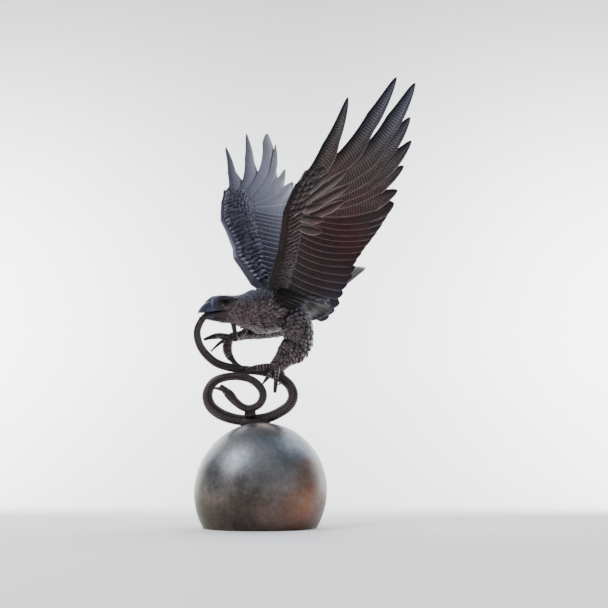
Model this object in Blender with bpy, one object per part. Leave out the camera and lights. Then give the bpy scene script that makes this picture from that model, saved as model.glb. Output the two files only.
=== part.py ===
"""Bronze eagle with a snake in its beak and claws, standing on a ball.

Three castings: the ball, the snake coiled on top of it, and the eagle.
Metres, +Z up.  The eagle flies towards -X and -Y.  The origin is the middle
of the round flat that the ball stands on.  Heights in the lists of stations
are measured from the top of the ball, so the group moves with it.
"""
import math

import bmesh
import bpy
from mathutils import Vector

# Ball, cut flat below where it stands.
BALL_RADIUS = 0.240
BALL_SEAT = 0.130
BALL_TOP = BALL_SEAT + BALL_RADIUS
BALL_SEGMENTS = 32
BALL_RINGS = 18

# Clearance between castings that touch.
JOINT_GAP = 0.0003
# Corners nearer than this are one corner.
WELD = 0.00001
# Edges that turn less than this are shaded smooth.
SMOOTH_ANGLE = math.radians(35.0)

# Eagle: how far it is turned from -X, where its shoulders are, and its lengths.
EAGLE_TURN = math.radians(45.0)
SHOULDER_X = -0.040
SHOULDER_Y = -0.010

# Trunk and head, front to back: back, middle height, half height, half width.
TRUNK = (
    (-0.222, 0.405, 0.030, 0.026),
    (-0.205, 0.407, 0.043, 0.037),
    (-0.180, 0.408, 0.048, 0.044),
    (-0.150, 0.412, 0.051, 0.049),
    (-0.115, 0.417, 0.053, 0.053),
    (-0.070, 0.425, 0.060, 0.062),
    (-0.020, 0.438, 0.073, 0.080),
    (0.040, 0.447, 0.087, 0.095),
    (0.100, 0.459, 0.087, 0.100),
    (0.160, 0.474, 0.080, 0.096),
    (0.225, 0.487, 0.069, 0.084),
    (0.295, 0.507, 0.053, 0.066),
    (0.355, 0.534, 0.038, 0.052),
    (0.400, 0.561, 0.024, 0.040),
)
TRUNK_SIDES = 12

# Beak, legs and toes are stations of back, left, height, radius fore and aft, radius across.
# Upper beak, from the face round to the hooked tip.
BEAK = (
    (-0.190, 0.000, 0.405, 0.028, 0.027),
    (-0.218, 0.000, 0.401, 0.023, 0.021),
    (-0.236, 0.000, 0.392, 0.017, 0.016),
    (-0.249, 0.000, 0.379, 0.0135, 0.0125),
    (-0.257, 0.000, 0.366, 0.0100, 0.0095),
    (-0.260, 0.000, 0.353, 0.0040, 0.0040),
)
# Lower beak, from the throat forwards.
CHIN = (
    (-0.150, 0.000, 0.379, 0.020, 0.034),
    (-0.190, 0.000, 0.371, 0.015, 0.026),
    (-0.218, 0.000, 0.365, 0.010, 0.017),
    (-0.236, 0.000, 0.362, 0.006, 0.008),
)
# Open mouth, a wedge from its corner forwards: back, height of its upper and lower edge.
GAPE_CORNER = (-0.162, 0.394)
GAPE_FRONT = (-0.240, 0.378, 0.364)
GAPE_HALF = 0.060

# Brow ridge over each eye: back, out, height, radius.
BROW = (
    (-0.214, 0.020, 0.427, 0.006),
    (-0.190, 0.038, 0.435, 0.009),
    (-0.160, 0.047, 0.441, 0.008),
    (-0.125, 0.050, 0.445, 0.004),
)
EYE = (-0.190, 0.034, 0.422, 0.009)

# Wings.  Each is laid out flat as "along" (from the shoulder out) and "back".
WING_WRIST = 0.365
WING_CHORD = 0.500
WING_CAMBER = 0.035
NEAR_WING = {"side": 1, "out": 0.055, "height": 0.499, "ahead": 0.000,
             "arm_lean": 17.0, "hand_lean": 35.0, "turn": 0.0, "tuck": 0.0}
FAR_WING = {"side": -1, "out": 0.064, "height": 0.549, "ahead": -0.068,
            "arm_lean": 19.5, "hand_lean": 22.0, "turn": -9.0, "tuck": 0.070}
# The lean eases from arm to hand, from this share of the wrist's distance over this span.
LEAN_START = 0.6
LEAN_SPAN = 1.2
# Short steps that a wing's lean is summed over.
LEAN_STEPS = 12
# A tucked wing's front edge and feather roots start further back, up to this far along the arm.
TUCK_ALONG = 0.13
# Shoulder muscle, from the middle of the trunk to this place in the arm, and its radii.
SHOULDER_ALONG = 0.040
SHOULDER_BACK = 0.150
SHOULDER_RADII = (0.045, 0.020)
SHOULDER_SIDES = 8
# The arm under its small coverts: along, front edge, rear edge, half thickness at the front.
WING_ARM = (
    (-0.060, 0.070, 0.200, 0.014),
    (0.010, 0.014, 0.240, 0.024),
    (0.090, 0.024, 0.265, 0.022),
    (0.180, 0.034, 0.290, 0.020),
    (0.268, 0.022, 0.305, 0.018),
    (0.327, 0.010, 0.315, 0.017),
    (0.375, 0.018, 0.315, 0.016),
    (0.441, 0.032, 0.300, 0.014),
    (0.500, 0.060, 0.270, 0.012),
    (0.560, 0.095, 0.215, 0.009),
)
# Cross-section of the arm: share of its chord, share of its half thickness.
ARM_SECTION = ((0.0, 0.0), (0.06, 0.8), (0.22, 1.0), (0.6, 0.8), (0.97, 0.5), (1.0, 0.0),
               (0.97, -0.5), (0.6, -0.8), (0.22, -1.0), (0.06, -0.8))

# Feathers: root along, root back, tip along, tip back, bow, width, where the point begins.
FEATHER_THICK = 0.0110
FEATHER_LAP = 0.0060
PRIMARY_STATIONS = 6
SECONDARY_STATIONS = 5
# How much closer together the stations lie towards a feather's tip.
TIP_CROWDING = 1.4
# A blade's share of its full width at the root and at the very tip, how blunt its point
# is, and how much thinner its ridge gets towards the tip.
BLADE_ROOT = 0.75
BLADE_TIP = 0.06
BLADE_BLUNT = 0.65
BLADE_THINNING = 0.55
# A primary's rear half narrows to a finger between these shares of its length.
FINGER_START = 0.42
FINGER_END = 0.66
NEAR_PRIMARIES = (
    (0.420, 0.080, 0.855, 0.127, 0.100, 0.098, 0.52),
    (0.450, 0.120, 1.036, 0.330, 0.138, 0.104, 0.70),
    (0.470, 0.160, 1.060, 0.430, 0.192, 0.112, 0.74),
    (0.460, 0.185, 0.926, 0.477, 0.166, 0.102, 0.74),
    (0.445, 0.190, 0.844, 0.540, 0.140, 0.098, 0.74),
    (0.425, 0.190, 0.732, 0.562, 0.095, 0.095, 0.70),
    (0.405, 0.190, 0.624, 0.592, 0.070, 0.095, 0.70),
)
FAR_PRIMARIES = (
    (0.420, 0.080, 0.818, 0.128, 0.062, 0.086, 0.52),
    (0.450, 0.120, 0.982, 0.278, 0.088, 0.095, 0.60),
    (0.470, 0.160, 1.088, 0.450, 0.100, 0.110, 0.80),
    (0.460, 0.185, 1.034, 0.494, 0.092, 0.080, 0.70),
    (0.445, 0.190, 0.846, 0.500, 0.080, 0.094, 0.60),
    (0.425, 0.190, 0.765, 0.525, 0.070, 0.090, 0.65),
    (0.405, 0.190, 0.640, 0.580, 0.060, 0.095, 0.70),
)
# What is left of the rear half in each primary's finger.
NEAR_FINGERS = (0.60, 0.34, 0.30, 0.45, 0.60, 0.80, 0.90)
FAR_FINGERS = (0.10, 0.30, 0.75, 0.00, 0.20, 0.50, 0.80)
# Thumb feather at the wrist.
ALULA = (0.330, 0.045, 0.522, 0.064, 0.020, 0.050, 0.60)
# Secondary feathers, from the hand in to the body.
SECONDARIES = (
    (0.385, 0.180, 0.566, 0.606, 0.050, 0.095, 0.70),
    (0.350, 0.170, 0.480, 0.584, 0.040, 0.100, 0.78),
    (0.310, 0.160, 0.412, 0.556, 0.030, 0.100, 0.80),
    (0.265, 0.150, 0.340, 0.512, 0.025, 0.100, 0.80),
    (0.220, 0.140, 0.266, 0.484, 0.015, 0.100, 0.80),
    (0.170, 0.130, 0.194, 0.480, 0.010, 0.100, 0.80),
    (0.120, 0.110, 0.122, 0.454, 0.000, 0.100, 0.80),
    (0.070, 0.090, 0.038, 0.442, -0.010, 0.095, 0.80),
    (0.020, 0.080, -0.020, 0.404, -0.020, 0.090, 0.80),
)
# Greater coverts over the roots of the flight feathers, in one row along the arm.
COVERTS = 9
COVERT_FIRST = 0.035
COVERT_LAST = 0.480
COVERT_LENGTH = 0.170
COVERT_WIDTH = 0.085
COVERT_THICK = 0.0190
COVERT_POINT = 0.75
COVERT_BOW = 0.010
COVERT_STATIONS = 4
# How far the coverts swing from straight back to straight out, from first to last.
COVERT_SWING = (math.radians(4.0), math.radians(52.0))
COVERT_ROOT = 0.62

# Tail fan: root and middle tip as back and height, then the fan.
TAIL_ROOT = (0.330, 0.519)
TAIL_TIP = (0.630, 0.784)
TAIL_FEATHERS = 7
TAIL_STATIONS = 4
TAIL_SPREAD = math.radians(11.0)
TAIL_WIDTH = 0.060
TAIL_POINT = 0.80
# Half width of the row of roots, how much shorter the outer feathers are, and how much
# higher the middle one lies.
TAIL_ROOT_HALF = 0.016
TAIL_SHORTENING = 0.06
TAIL_CROWN = 0.012

# Thigh and shank of the near leg, and the far leg that reaches forwards.
NEAR_LEG = (
    (0.125, 0.045, 0.469, 0.060, 0.045),
    (0.146, 0.074, 0.431, 0.068, 0.050),
    (0.156, 0.082, 0.390, 0.070, 0.052),
    (0.164, 0.082, 0.341, 0.068, 0.048),
    (0.154, 0.076, 0.304, 0.064, 0.040),
    (0.120, 0.066, 0.268, 0.048, 0.031),
    (0.094, 0.056, 0.235, 0.036, 0.025),
    (0.069, 0.046, 0.207, 0.026, 0.022),
)
FAR_LEG = (
    (0.235, -0.050, 0.454, 0.050, 0.045),
    (0.215, -0.068, 0.429, 0.044, 0.040),
    (0.166, -0.078, 0.403, 0.034, 0.032),
    (0.091, -0.080, 0.377, 0.027, 0.025),
    (0.026, -0.078, 0.357, 0.021, 0.020),
    (-0.046, -0.070, 0.333, 0.018, 0.018),
    (-0.066, -0.068, 0.325, 0.012, 0.012),
)
LIMB_SIDES = 10
BROW_SIDES = 6

# Toes and claws: X, Y, height, radius.
NEAR_TOES = (
    ((0.040, 0.002, 0.213, 0.015), (0.004, -0.018, 0.208, 0.014),
     (-0.034, -0.030, 0.202, 0.011), (-0.066, -0.038, 0.190, 0.005)),
    ((0.040, -0.006, 0.211, 0.014), (0.028, -0.030, 0.179, 0.010),
     (0.012, -0.040, 0.155, 0.007), (0.000, -0.040, 0.138, 0.003)),
    ((0.048, -0.004, 0.211, 0.014), (0.052, -0.030, 0.181, 0.010),
     (0.049, -0.034, 0.137, 0.009), (0.047, -0.034, 0.107, 0.007)),
    ((0.050, 0.006, 0.211, 0.014), (0.072, 0.034, 0.191, 0.011),
     (0.072, 0.036, 0.167, 0.008), (0.056, 0.030, 0.147, 0.003)),
)
FAR_TOES = (
    ((-0.134, -0.004, 0.327, 0.014), (-0.165, -0.050, 0.323, 0.012),
     (-0.189, -0.090, 0.309, 0.010), (-0.214, -0.122, 0.291, 0.005)),
    ((-0.134, -0.004, 0.323, 0.012), (-0.160, -0.048, 0.299, 0.007),
     (-0.178, -0.072, 0.274, 0.005), (-0.192, -0.088, 0.253, 0.003)),
    ((-0.136, -0.002, 0.323, 0.017), (-0.140, -0.018, 0.286, 0.018),
     (-0.130, -0.036, 0.251, 0.015), (-0.104, -0.050, 0.219, 0.009),
     (-0.080, -0.048, 0.205, 0.004)),
    ((-0.110, 0.012, 0.335, 0.014), (-0.078, 0.022, 0.361, 0.012),
     (-0.080, 0.006, 0.376, 0.008), (-0.092, -0.016, 0.363, 0.004)),
)
TOE_SIDES = 7
TOE_STEPS = 2

# Snake, from the tip of its tail to its snout: X, Y, height, radius.
SNAKE = (
    (-0.108, -0.020, 0.309, 0.0050),
    (-0.110, -0.052, 0.344, 0.0090),
    (-0.118, -0.080, 0.374, 0.0105),
    (-0.146, -0.112, 0.387, 0.0110),
    (-0.178, -0.147, 0.383, 0.0110),
    (-0.208, -0.177, 0.361, 0.0116),
    (-0.231, -0.172, 0.314, 0.0131),
    (-0.227, -0.140, 0.270, 0.0140),
    (-0.201, -0.100, 0.234, 0.0150),
    (-0.161, -0.055, 0.211, 0.0156),
    (-0.088, -0.012, 0.201, 0.0162),
    (-0.008, 0.004, 0.196, 0.0172),
    (0.052, 0.010, 0.179, 0.0184),
    (0.096, 0.010, 0.149, 0.0192),
    (0.114, 0.005, 0.113, 0.0196),
    (0.109, 0.002, 0.079, 0.0196),
    (0.082, 0.000, 0.050, 0.0196),
    (0.021, 0.000, 0.020, 0.0196),
    (-0.058, 0.000, 0.010, 0.0198),
    (-0.112, -0.002, 0.016, 0.0202),
    (-0.161, -0.005, 0.034, 0.0212),
    (-0.196, -0.010, 0.063, 0.0206),
    (-0.208, -0.016, 0.103, 0.0196),
    (-0.191, -0.022, 0.144, 0.0176),
    (-0.155, -0.028, 0.164, 0.0158),
    (-0.102, -0.032, 0.170, 0.0148),
    (-0.049, -0.032, 0.160, 0.0148),
    (-0.012, -0.030, 0.133, 0.0151),
    (0.003, -0.030, 0.099, 0.0152),
    (-0.010, -0.030, 0.066, 0.0146),
    (-0.042, -0.032, 0.050, 0.0138),
    (-0.071, -0.036, 0.054, 0.0138),
    (-0.098, -0.042, 0.073, 0.0150),
    (-0.120, -0.048, 0.097, 0.0178),
    (-0.138, -0.050, 0.115, 0.0130),
    (-0.156, -0.050, 0.131, 0.0080),
)
SNAKE_SIDES = 8
SNAKE_STEPS = 2
# Saddle between the snake's lowest turn and the ball, and the lug inside the coil.
SADDLE_CENTRE = (-0.028, 0.000, 0.000)
SADDLE_HALF = (0.058, 0.026, 0.020)
LUG_CENTRE = (-0.045, -0.018, 0.033)
LUG_HALF = (0.022, 0.014, 0.016)
# Such a pad is a barrel lying along X: share of its half length, share of its girth.
BARREL = ((-1.0, 0.7), (-0.5, 1.0), (0.5, 1.0), (1.0, 0.7))
BARREL_SIDES = 8

# Bronze of each casting: colour, roughness, metallic.
BALL_BRONZE = ((0.10, 0.075, 0.055), 0.35, 0.90)
SNAKE_BRONZE = ((0.07, 0.045, 0.035), 0.45, 0.90)
EAGLE_BRONZE = ((0.09, 0.08, 0.085), 0.50, 0.85)


def clear_scene():
    for thing in list(bpy.data.objects):
        bpy.data.objects.remove(thing, do_unlink=True)


def make_collection(name):
    group = bpy.data.collections.new(name)
    bpy.context.scene.collection.children.link(group)
    return group


def principled(name, colour, roughness, metallic):
    material = bpy.data.materials.new(name)
    material.use_nodes = True
    shader = material.node_tree.nodes["Principled BSDF"]
    shader.inputs["Base Color"].default_value = (*colour, 1.0)
    shader.inputs["Roughness"].default_value = roughness
    shader.inputs["Metallic"].default_value = metallic
    return material


def mesh_object(bm, name, group):
    """Turn a bmesh into an object whose faces point out."""
    bmesh.ops.recalc_face_normals(bm, faces=bm.faces)
    mesh = bpy.data.meshes.new(name)
    bm.to_mesh(mesh)
    bm.free()
    thing = bpy.data.objects.new(name, mesh)
    group.objects.link(thing)
    return thing


def as_cutter(thing):
    thing.hide_render = True
    thing.display_type = "WIRE"


def loft(rings, name, group):
    """A closed solid through rings of points, capped at both ends."""
    bm = bmesh.new()
    rows = [[bm.verts.new(point) for point in ring] for ring in rings]
    sides = len(rows[0])
    for row, following in zip(rows, rows[1:]):
        for i in range(sides):
            j = (i + 1) % sides
            bm.faces.new((row[i], row[j], following[j], following[i]))
    bm.faces.new(rows[0])
    bm.faces.new(rows[-1])
    bmesh.ops.triangulate(bm, faces=bm.faces)
    return mesh_object(bm, name, group)


def curve_through(points, steps):
    """Points along a Catmull-Rom curve; every value in a point is smoothed alike."""
    ends = (points[0], *points, points[-1])
    path = []
    for i in range(1, len(ends) - 2):
        before, here, after, beyond = ends[i - 1:i + 3]
        for k in range(steps):
            t = k / steps
            path.append(tuple(
                0.5 * (2 * b + (c - a) * t + (2 * a - 5 * b + 4 * c - d) * t ** 2
                       + (3 * b - a - 3 * c + d) * t ** 3)
                for a, b, c, d in zip(before, here, after, beyond)))
    path.append(tuple(points[-1]))
    return path


def tube(path, sides, name, group, grow=0.0):
    """A round limb along a path of X, Y, height over the ball, radius."""
    centres = [Vector((x, y, BALL_TOP + height)) for x, y, height, radius in path]
    rings = []
    across = None
    for i, centre in enumerate(centres):
        ahead = centres[min(i + 1, len(centres) - 1)] - centres[max(i - 1, 0)]
        ahead.normalize()
        if across is None:
            across = ahead.orthogonal()
        across = (across - ahead * across.dot(ahead)).normalized()
        upright = ahead.cross(across)
        radius = path[i][3] + grow
        rings.append([
            centre + (across * math.cos(a) + upright * math.sin(a)) * radius
            for a in (2 * math.pi * k / sides for k in range(sides))])
    return loft(rings, name, group)


def eagle_point(back, left, height):
    """From the eagle's own back, left and height to world coordinates."""
    turn = EAGLE_TURN
    return Vector((SHOULDER_X + back * math.cos(turn) + left * math.sin(turn),
                   SHOULDER_Y + back * math.sin(turn) - left * math.cos(turn),
                   BALL_TOP + height))


def cross_sections(stations, sides):
    """Upright oval rings along the eagle's middle plane."""
    rings = []
    for back, height, half_height, half_width in stations:
        rings.append([
            eagle_point(back, half_width * math.sin(a), height + half_height * math.cos(a))
            for a in (2 * math.pi * k / sides for k in range(sides))])
    return rings


def ease(value, low, high):
    """From 0 at low to 1 at high, smoothly."""
    t = min(max((value - low) / (high - low), 0.0), 1.0)
    return t * t * (3 - 2 * t)


def wing_lean(wing, along):
    """The wing's lean from upright, easing from arm to hand round the wrist."""
    start = LEAN_START * WING_WRIST
    bent = ease(along, start, start + LEAN_SPAN * WING_WRIST)
    return math.radians(wing["arm_lean"] + (wing["hand_lean"] - wing["arm_lean"]) * bent)


def wing_point(wing, along, back, out):
    """A point on a wing: along the arm, back over the feathers, out from its under side."""
    reach = rise = 0.0
    for i in range(LEAN_STEPS):
        lean = wing_lean(wing, along * (i + 0.5) / LEAN_STEPS)
        reach += math.sin(lean) * along / LEAN_STEPS
        rise += math.cos(lean) * along / LEAN_STEPS
    side = wing["side"]
    left = Vector((math.sin(EAGLE_TURN), -math.cos(EAGLE_TURN), 0.0)) * side
    turn = EAGLE_TURN - side * math.radians(wing["turn"])
    aft = Vector((math.cos(turn), math.sin(turn), 0.0))
    lean = wing_lean(wing, along)
    under = left * math.cos(lean) - Vector((0, 0, 1)) * math.sin(lean)
    x = min(max(back / WING_CHORD, 0.0), 1.0)
    hollow = WING_CAMBER * 4 * x * (1 - x)
    shoulder = eagle_point(wing["ahead"], side * wing["out"], wing["height"])
    return shoulder + aft * back + left * reach + Vector((0, 0, rise)) + under * (out - hollow)


def blade_rings(place, feather, depth, thick, stations, finger=1.0):
    """Rings of a feather blade: two edges, a ridge above and a ridge below.

    place maps along, back, out to space; the blade bows in that flat layout."""
    root_along, root_back, tip_along, tip_back, bow, width, point = feather
    root = Vector((root_along, root_back))
    tip = Vector((tip_along, tip_back))
    line = tip - root
    side = Vector((-line.y, line.x)).normalized()
    middle = (root + tip) / 2 + side * bow
    rings = []
    for k in range(stations):
        t = 1 - (1 - k / (stations - 1)) ** TIP_CROWDING
        centre = root * (1 - t) ** 2 + middle * 2 * t * (1 - t) + tip * t ** 2
        ahead = ((middle - root) * (1 - t) + (tip - middle) * t).normalized()
        front = Vector((ahead.y, -ahead.x)) * 0.5 * width * blade_width(t, point)
        rear = -front * (1 - (1 - finger) * ease(t, FINGER_START, FINGER_END))
        rise = 0.5 * thick * (1 - BLADE_THINNING * t)
        rings.append([
            place(centre.x + rear.x, centre.y + rear.y, depth),
            place(centre.x, centre.y, depth + rise),
            place(centre.x + front.x, centre.y + front.y, depth),
            place(centre.x, centre.y, depth - rise)])
    return rings


def blade_width(t, point):
    """Share of a feather's full width at t, from its root to where it runs to a point."""
    if t < point:
        return BLADE_ROOT + (1 - BLADE_ROOT) * t / point
    return max(((1 - t) / (1 - point)) ** BLADE_BLUNT, BLADE_TIP)


def between(stations, first, column):
    """A value of a row of stations, read between the two that "first" lies between."""
    for here, beyond in zip(stations, stations[1:]):
        if first <= beyond[0]:
            share = (first - here[0]) / (beyond[0] - here[0])
            return here[column] + (beyond[column] - here[column]) * share
    return stations[-1][column]


def covert_feathers():
    """The row of greater coverts, fanning from the body out to the hand."""
    row = []
    for i in range(COVERTS):
        share = i / (COVERTS - 1)
        along = COVERT_FIRST + (COVERT_LAST - COVERT_FIRST) * share
        front = between(WING_ARM, along, 1)
        back = front + (between(WING_ARM, along, 2) - front) * COVERT_ROOT
        swing = COVERT_SWING[0] + (COVERT_SWING[1] - COVERT_SWING[0]) * share
        row.append((along, back, along + COVERT_LENGTH * math.sin(swing),
                    back + COVERT_LENGTH * math.cos(swing), COVERT_BOW,
                    COVERT_WIDTH, COVERT_POINT))
    return row


def shoulder(wing, group):
    """The muscle that carries a wing, wherever its shoulder is."""
    back = wing["ahead"] + SHOULDER_BACK
    ends = (eagle_point(back, 0.0, between(TRUNK, back, 1)),
            wing_point(wing, SHOULDER_ALONG, SHOULDER_BACK, 0.0))
    path = [(end.x, end.y, end.z - BALL_TOP, radius)
            for end, radius in zip(ends, SHOULDER_RADII)]
    return tube(path, SHOULDER_SIDES, "shoulder", group)


def tucked(wing, along):
    """How much further back a tucked wing starts at this place along its arm."""
    return wing["tuck"] * max(0.0, 1 - max(along, 0.0) / TUCK_ALONG)


def wing_shapes(wing, primaries, fingers, group):
    """The arm and all the feathers of one wing."""

    def place(along, back, out):
        return wing_point(wing, along, back, out)

    rings = []
    for along, front, rear, half in WING_ARM:
        front += tucked(wing, along)
        rings.append([place(along, front + (rear - front) * x, half * y)
                      for x, y in ARM_SECTION])
    shapes = [loft(rings, "arm", group), shoulder(wing, group)]
    for i, feather in enumerate(primaries + SECONDARIES):
        depth = FEATHER_LAP * (0.5 if i % 2 else -0.5)
        if i < len(primaries):
            rings = blade_rings(place, feather, depth, FEATHER_THICK, PRIMARY_STATIONS,
                                fingers[i])
        else:
            root_along, root_back, *rest = feather
            placed = (root_along, root_back + tucked(wing, root_along), *rest)
            rings = blade_rings(place, placed, depth, FEATHER_THICK, SECONDARY_STATIONS)
        shapes.append(loft(rings, "flight_feather", group))
    for feather in covert_feathers():
        rings = blade_rings(place, feather, 0.0, COVERT_THICK, COVERT_STATIONS)
        shapes.append(loft(rings, "covert", group))
    rings = blade_rings(place, ALULA, FEATHER_LAP, FEATHER_THICK, SECONDARY_STATIONS)
    shapes.append(loft(rings, "alula", group))
    return shapes


def tail_shapes(group):
    """A fan of flat feathers rising behind the rump."""
    root = Vector(TAIL_ROOT)
    reach = Vector(TAIL_TIP) - root
    length = reach.length
    aft = reach.normalized()
    up = Vector((-aft.y, aft.x))

    def place(along, across, out):
        back = root.x + aft.x * along + up.x * out
        height = root.y + aft.y * along + up.y * out
        return eagle_point(back, across, height)

    shapes = []
    for i in range(TAIL_FEATHERS):
        share = 2 * i / (TAIL_FEATHERS - 1) - 1
        angle = TAIL_SPREAD * share
        reach_here = length * (1 - TAIL_SHORTENING * abs(share))
        feather = (0.0, TAIL_ROOT_HALF * share, reach_here * math.cos(angle),
                   reach_here * math.sin(angle), 0.0, TAIL_WIDTH, TAIL_POINT)
        depth = TAIL_CROWN * (0.5 - abs(share))
        rings = blade_rings(place, feather, depth, FEATHER_THICK, TAIL_STATIONS)
        shapes.append(loft(rings, f"tail_{i}", group))
    return shapes


def limb(stations, name, group, sides=LIMB_SIDES):
    """A leg or beak as ovals lying across its own run."""
    centres = [Vector(station[:3]) for station in stations]
    rings = []
    for i, (back, left, height, fore, across) in enumerate(stations):
        ahead = (centres[min(i + 1, len(centres) - 1)] - centres[max(i - 1, 0)]).normalized()
        side = Vector((0, 1, 0))
        side = (side - ahead * side.dot(ahead)).normalized()
        front = ahead.cross(side)
        ring = []
        for k in range(sides):
            a = 2 * math.pi * k / sides
            point = centres[i] + side * across * math.cos(a) + front * fore * math.sin(a)
            ring.append(eagle_point(*point))
        rings.append(ring)
    return loft(rings, name, group)


def unite(target, shapes, group):
    """Join shapes into the target with one union, and drop the loose ones."""
    union = target.modifiers.new("Union", "BOOLEAN")
    union.operation = "UNION"
    union.solver = "EXACT"
    union.operand_type = "COLLECTION"
    union.collection = group
    bake(target)
    for shape in shapes:
        bpy.data.objects.remove(shape, do_unlink=True)


def cut(target, cutter):
    """Take a cutter's shape out of the target."""
    trim = target.modifiers.new("Cut", "BOOLEAN")
    trim.operation = "DIFFERENCE"
    trim.solver = "EXACT"
    trim.object = cutter
    bake(target)


def bake(target):
    """Replace an object's mesh by what its modifiers make of it."""
    graph = bpy.context.evaluated_depsgraph_get()
    graph.update()
    mesh = bpy.data.meshes.new_from_object(target.evaluated_get(graph))
    bm = bmesh.new()
    bm.from_mesh(mesh)
    bmesh.ops.remove_doubles(bm, verts=bm.verts, dist=WELD)
    fill_pockets(bm)
    bm.to_mesh(mesh)
    bm.free()
    target.modifiers.clear()
    target.data = mesh


def fill_pockets(bm):
    """Fill each space that is sealed inside the metal: its skin is an island facing in."""
    left = set(bm.verts)
    while left:
        island = {left.pop()}
        edge = list(island)
        while edge:
            vert = edge.pop()
            fresh = {e.other_vert(vert) for e in vert.link_edges} - island
            island |= fresh
            edge += fresh
        left -= island
        faces = {face for vert in island for face in vert.link_faces}
        volume = sum(face.calc_center_median().dot(face.normal) * face.calc_area()
                     for face in faces) / 3
        if volume < 0:
            bmesh.ops.delete(bm, geom=list(island), context="VERTS")


def ball_solid(group, grow=0.0, name="ball"):
    """A sphere, cut flat where it stands."""
    bm = bmesh.new()
    bmesh.ops.create_uvsphere(bm, u_segments=BALL_SEGMENTS, v_segments=BALL_RINGS,
                              radius=BALL_RADIUS + grow)
    bmesh.ops.translate(bm, verts=bm.verts, vec=(0, 0, BALL_SEAT))
    whole = bm.verts[:] + bm.edges[:] + bm.faces[:]
    result = bmesh.ops.bisect_plane(bm, geom=whole, plane_co=(0, 0, 0),
                                    plane_no=(0, 0, 1), clear_inner=True)
    rim = [part for part in result["geom_cut"] if isinstance(part, bmesh.types.BMEdge)]
    bmesh.ops.contextual_create(bm, geom=rim)
    return mesh_object(bm, name, group)


def gape_wedge(group):
    """The open mouth as a wedge between the two halves of the beak."""
    corner_back, corner_height = GAPE_CORNER
    front_back, upper, lower = GAPE_FRONT
    rings = []
    for across in (-GAPE_HALF, GAPE_HALF):
        rings.append([eagle_point(corner_back, across, corner_height),
                      eagle_point(front_back, across, upper),
                      eagle_point(front_back, across, lower)])
    return loft(rings, "gape", group)


def eye_shape(side, group):
    """A small round eyeball under the brow."""
    back, out, height, radius = EYE
    bm = bmesh.new()
    bmesh.ops.create_icosphere(bm, subdivisions=1, radius=radius)
    bmesh.ops.translate(bm, verts=bm.verts, vec=eagle_point(back, side * out, height))
    return mesh_object(bm, "eye", group)


def block(centre, half, name, group):
    """A rounded pad over the ball's top."""
    rings = []
    for share, swell in BARREL:
        rings.append([
            Vector((centre[0] + half[0] * share,
                    centre[1] + half[1] * swell * math.sin(a),
                    BALL_TOP + centre[2] + half[2] * swell * math.cos(a)))
            for a in (2 * math.pi * (k + 0.5) / BARREL_SIDES for k in range(BARREL_SIDES))])
    return loft(rings, name, group)


def snake_path():
    return curve_through(SNAKE, SNAKE_STEPS)


def build_snake(group, cutters):
    snake = tube(snake_path(), SNAKE_SIDES, "snake", group)
    extras = bpy.data.collections.new("snake_extras")
    bpy.context.scene.collection.children.link(extras)
    shapes = [block(SADDLE_CENTRE, SADDLE_HALF, "saddle", extras),
              block(LUG_CENTRE, LUG_HALF, "lug", extras)]
    unite(snake, shapes, extras)
    bpy.data.collections.remove(extras)
    bowl = ball_solid(cutters, JOINT_GAP, "ball_clearance")
    as_cutter(bowl)
    cut(snake, bowl)
    return snake


def build_eagle(group, cutters):
    eagle = loft(cross_sections(TRUNK, TRUNK_SIDES), "eagle", group)
    extras = bpy.data.collections.new("eagle_extras")
    bpy.context.scene.collection.children.link(extras)
    shapes = [limb(BEAK, "beak", extras), limb(CHIN, "chin", extras)]
    for side in (1, -1):
        ridge = [(b, side * o, h, r, r) for b, o, h, r in BROW]
        shapes.append(limb(ridge, "brow", extras, BROW_SIDES))
        shapes.append(eye_shape(side, extras))
    shapes += wing_shapes(NEAR_WING, NEAR_PRIMARIES, NEAR_FINGERS, extras)
    shapes += wing_shapes(FAR_WING, FAR_PRIMARIES, FAR_FINGERS, extras)
    shapes += tail_shapes(extras)
    shapes.append(limb(NEAR_LEG, "near_leg", extras))
    shapes.append(limb(FAR_LEG, "far_leg", extras))
    for toe in NEAR_TOES + FAR_TOES:
        shapes.append(tube(curve_through(toe, TOE_STEPS), TOE_SIDES, "toe", extras))
    unite(eagle, shapes, extras)
    bpy.data.collections.remove(extras)
    mouth = gape_wedge(cutters)
    as_cutter(mouth)
    cut(eagle, mouth)
    grip = tube(snake_path(), SNAKE_SIDES, "snake_clearance", cutters, JOINT_GAP)
    as_cutter(grip)
    cut(eagle, grip)
    return eagle


def main():
    clear_scene()
    group = make_collection("eagle_and_snake")
    cutters = make_collection("cutters")
    ball = ball_solid(group)
    snake = build_snake(group, cutters)
    eagle = build_eagle(group, cutters)
    bronzes = ((ball, BALL_BRONZE), (snake, SNAKE_BRONZE), (eagle, EAGLE_BRONZE))
    for thing, (colour, roughness, metallic) in bronzes:
        thing.data.materials.append(
            principled(f"{thing.name}_bronze", colour, roughness, metallic))
        thing.data.shade_smooth()
        thing.data.set_sharp_from_angle(angle=SMOOTH_ANGLE)


main()
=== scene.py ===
import math
from functools import partial

import bmesh
import bpy
import numpy as np
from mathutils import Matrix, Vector
from mathutils.bvhtree import BVHTree


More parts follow.
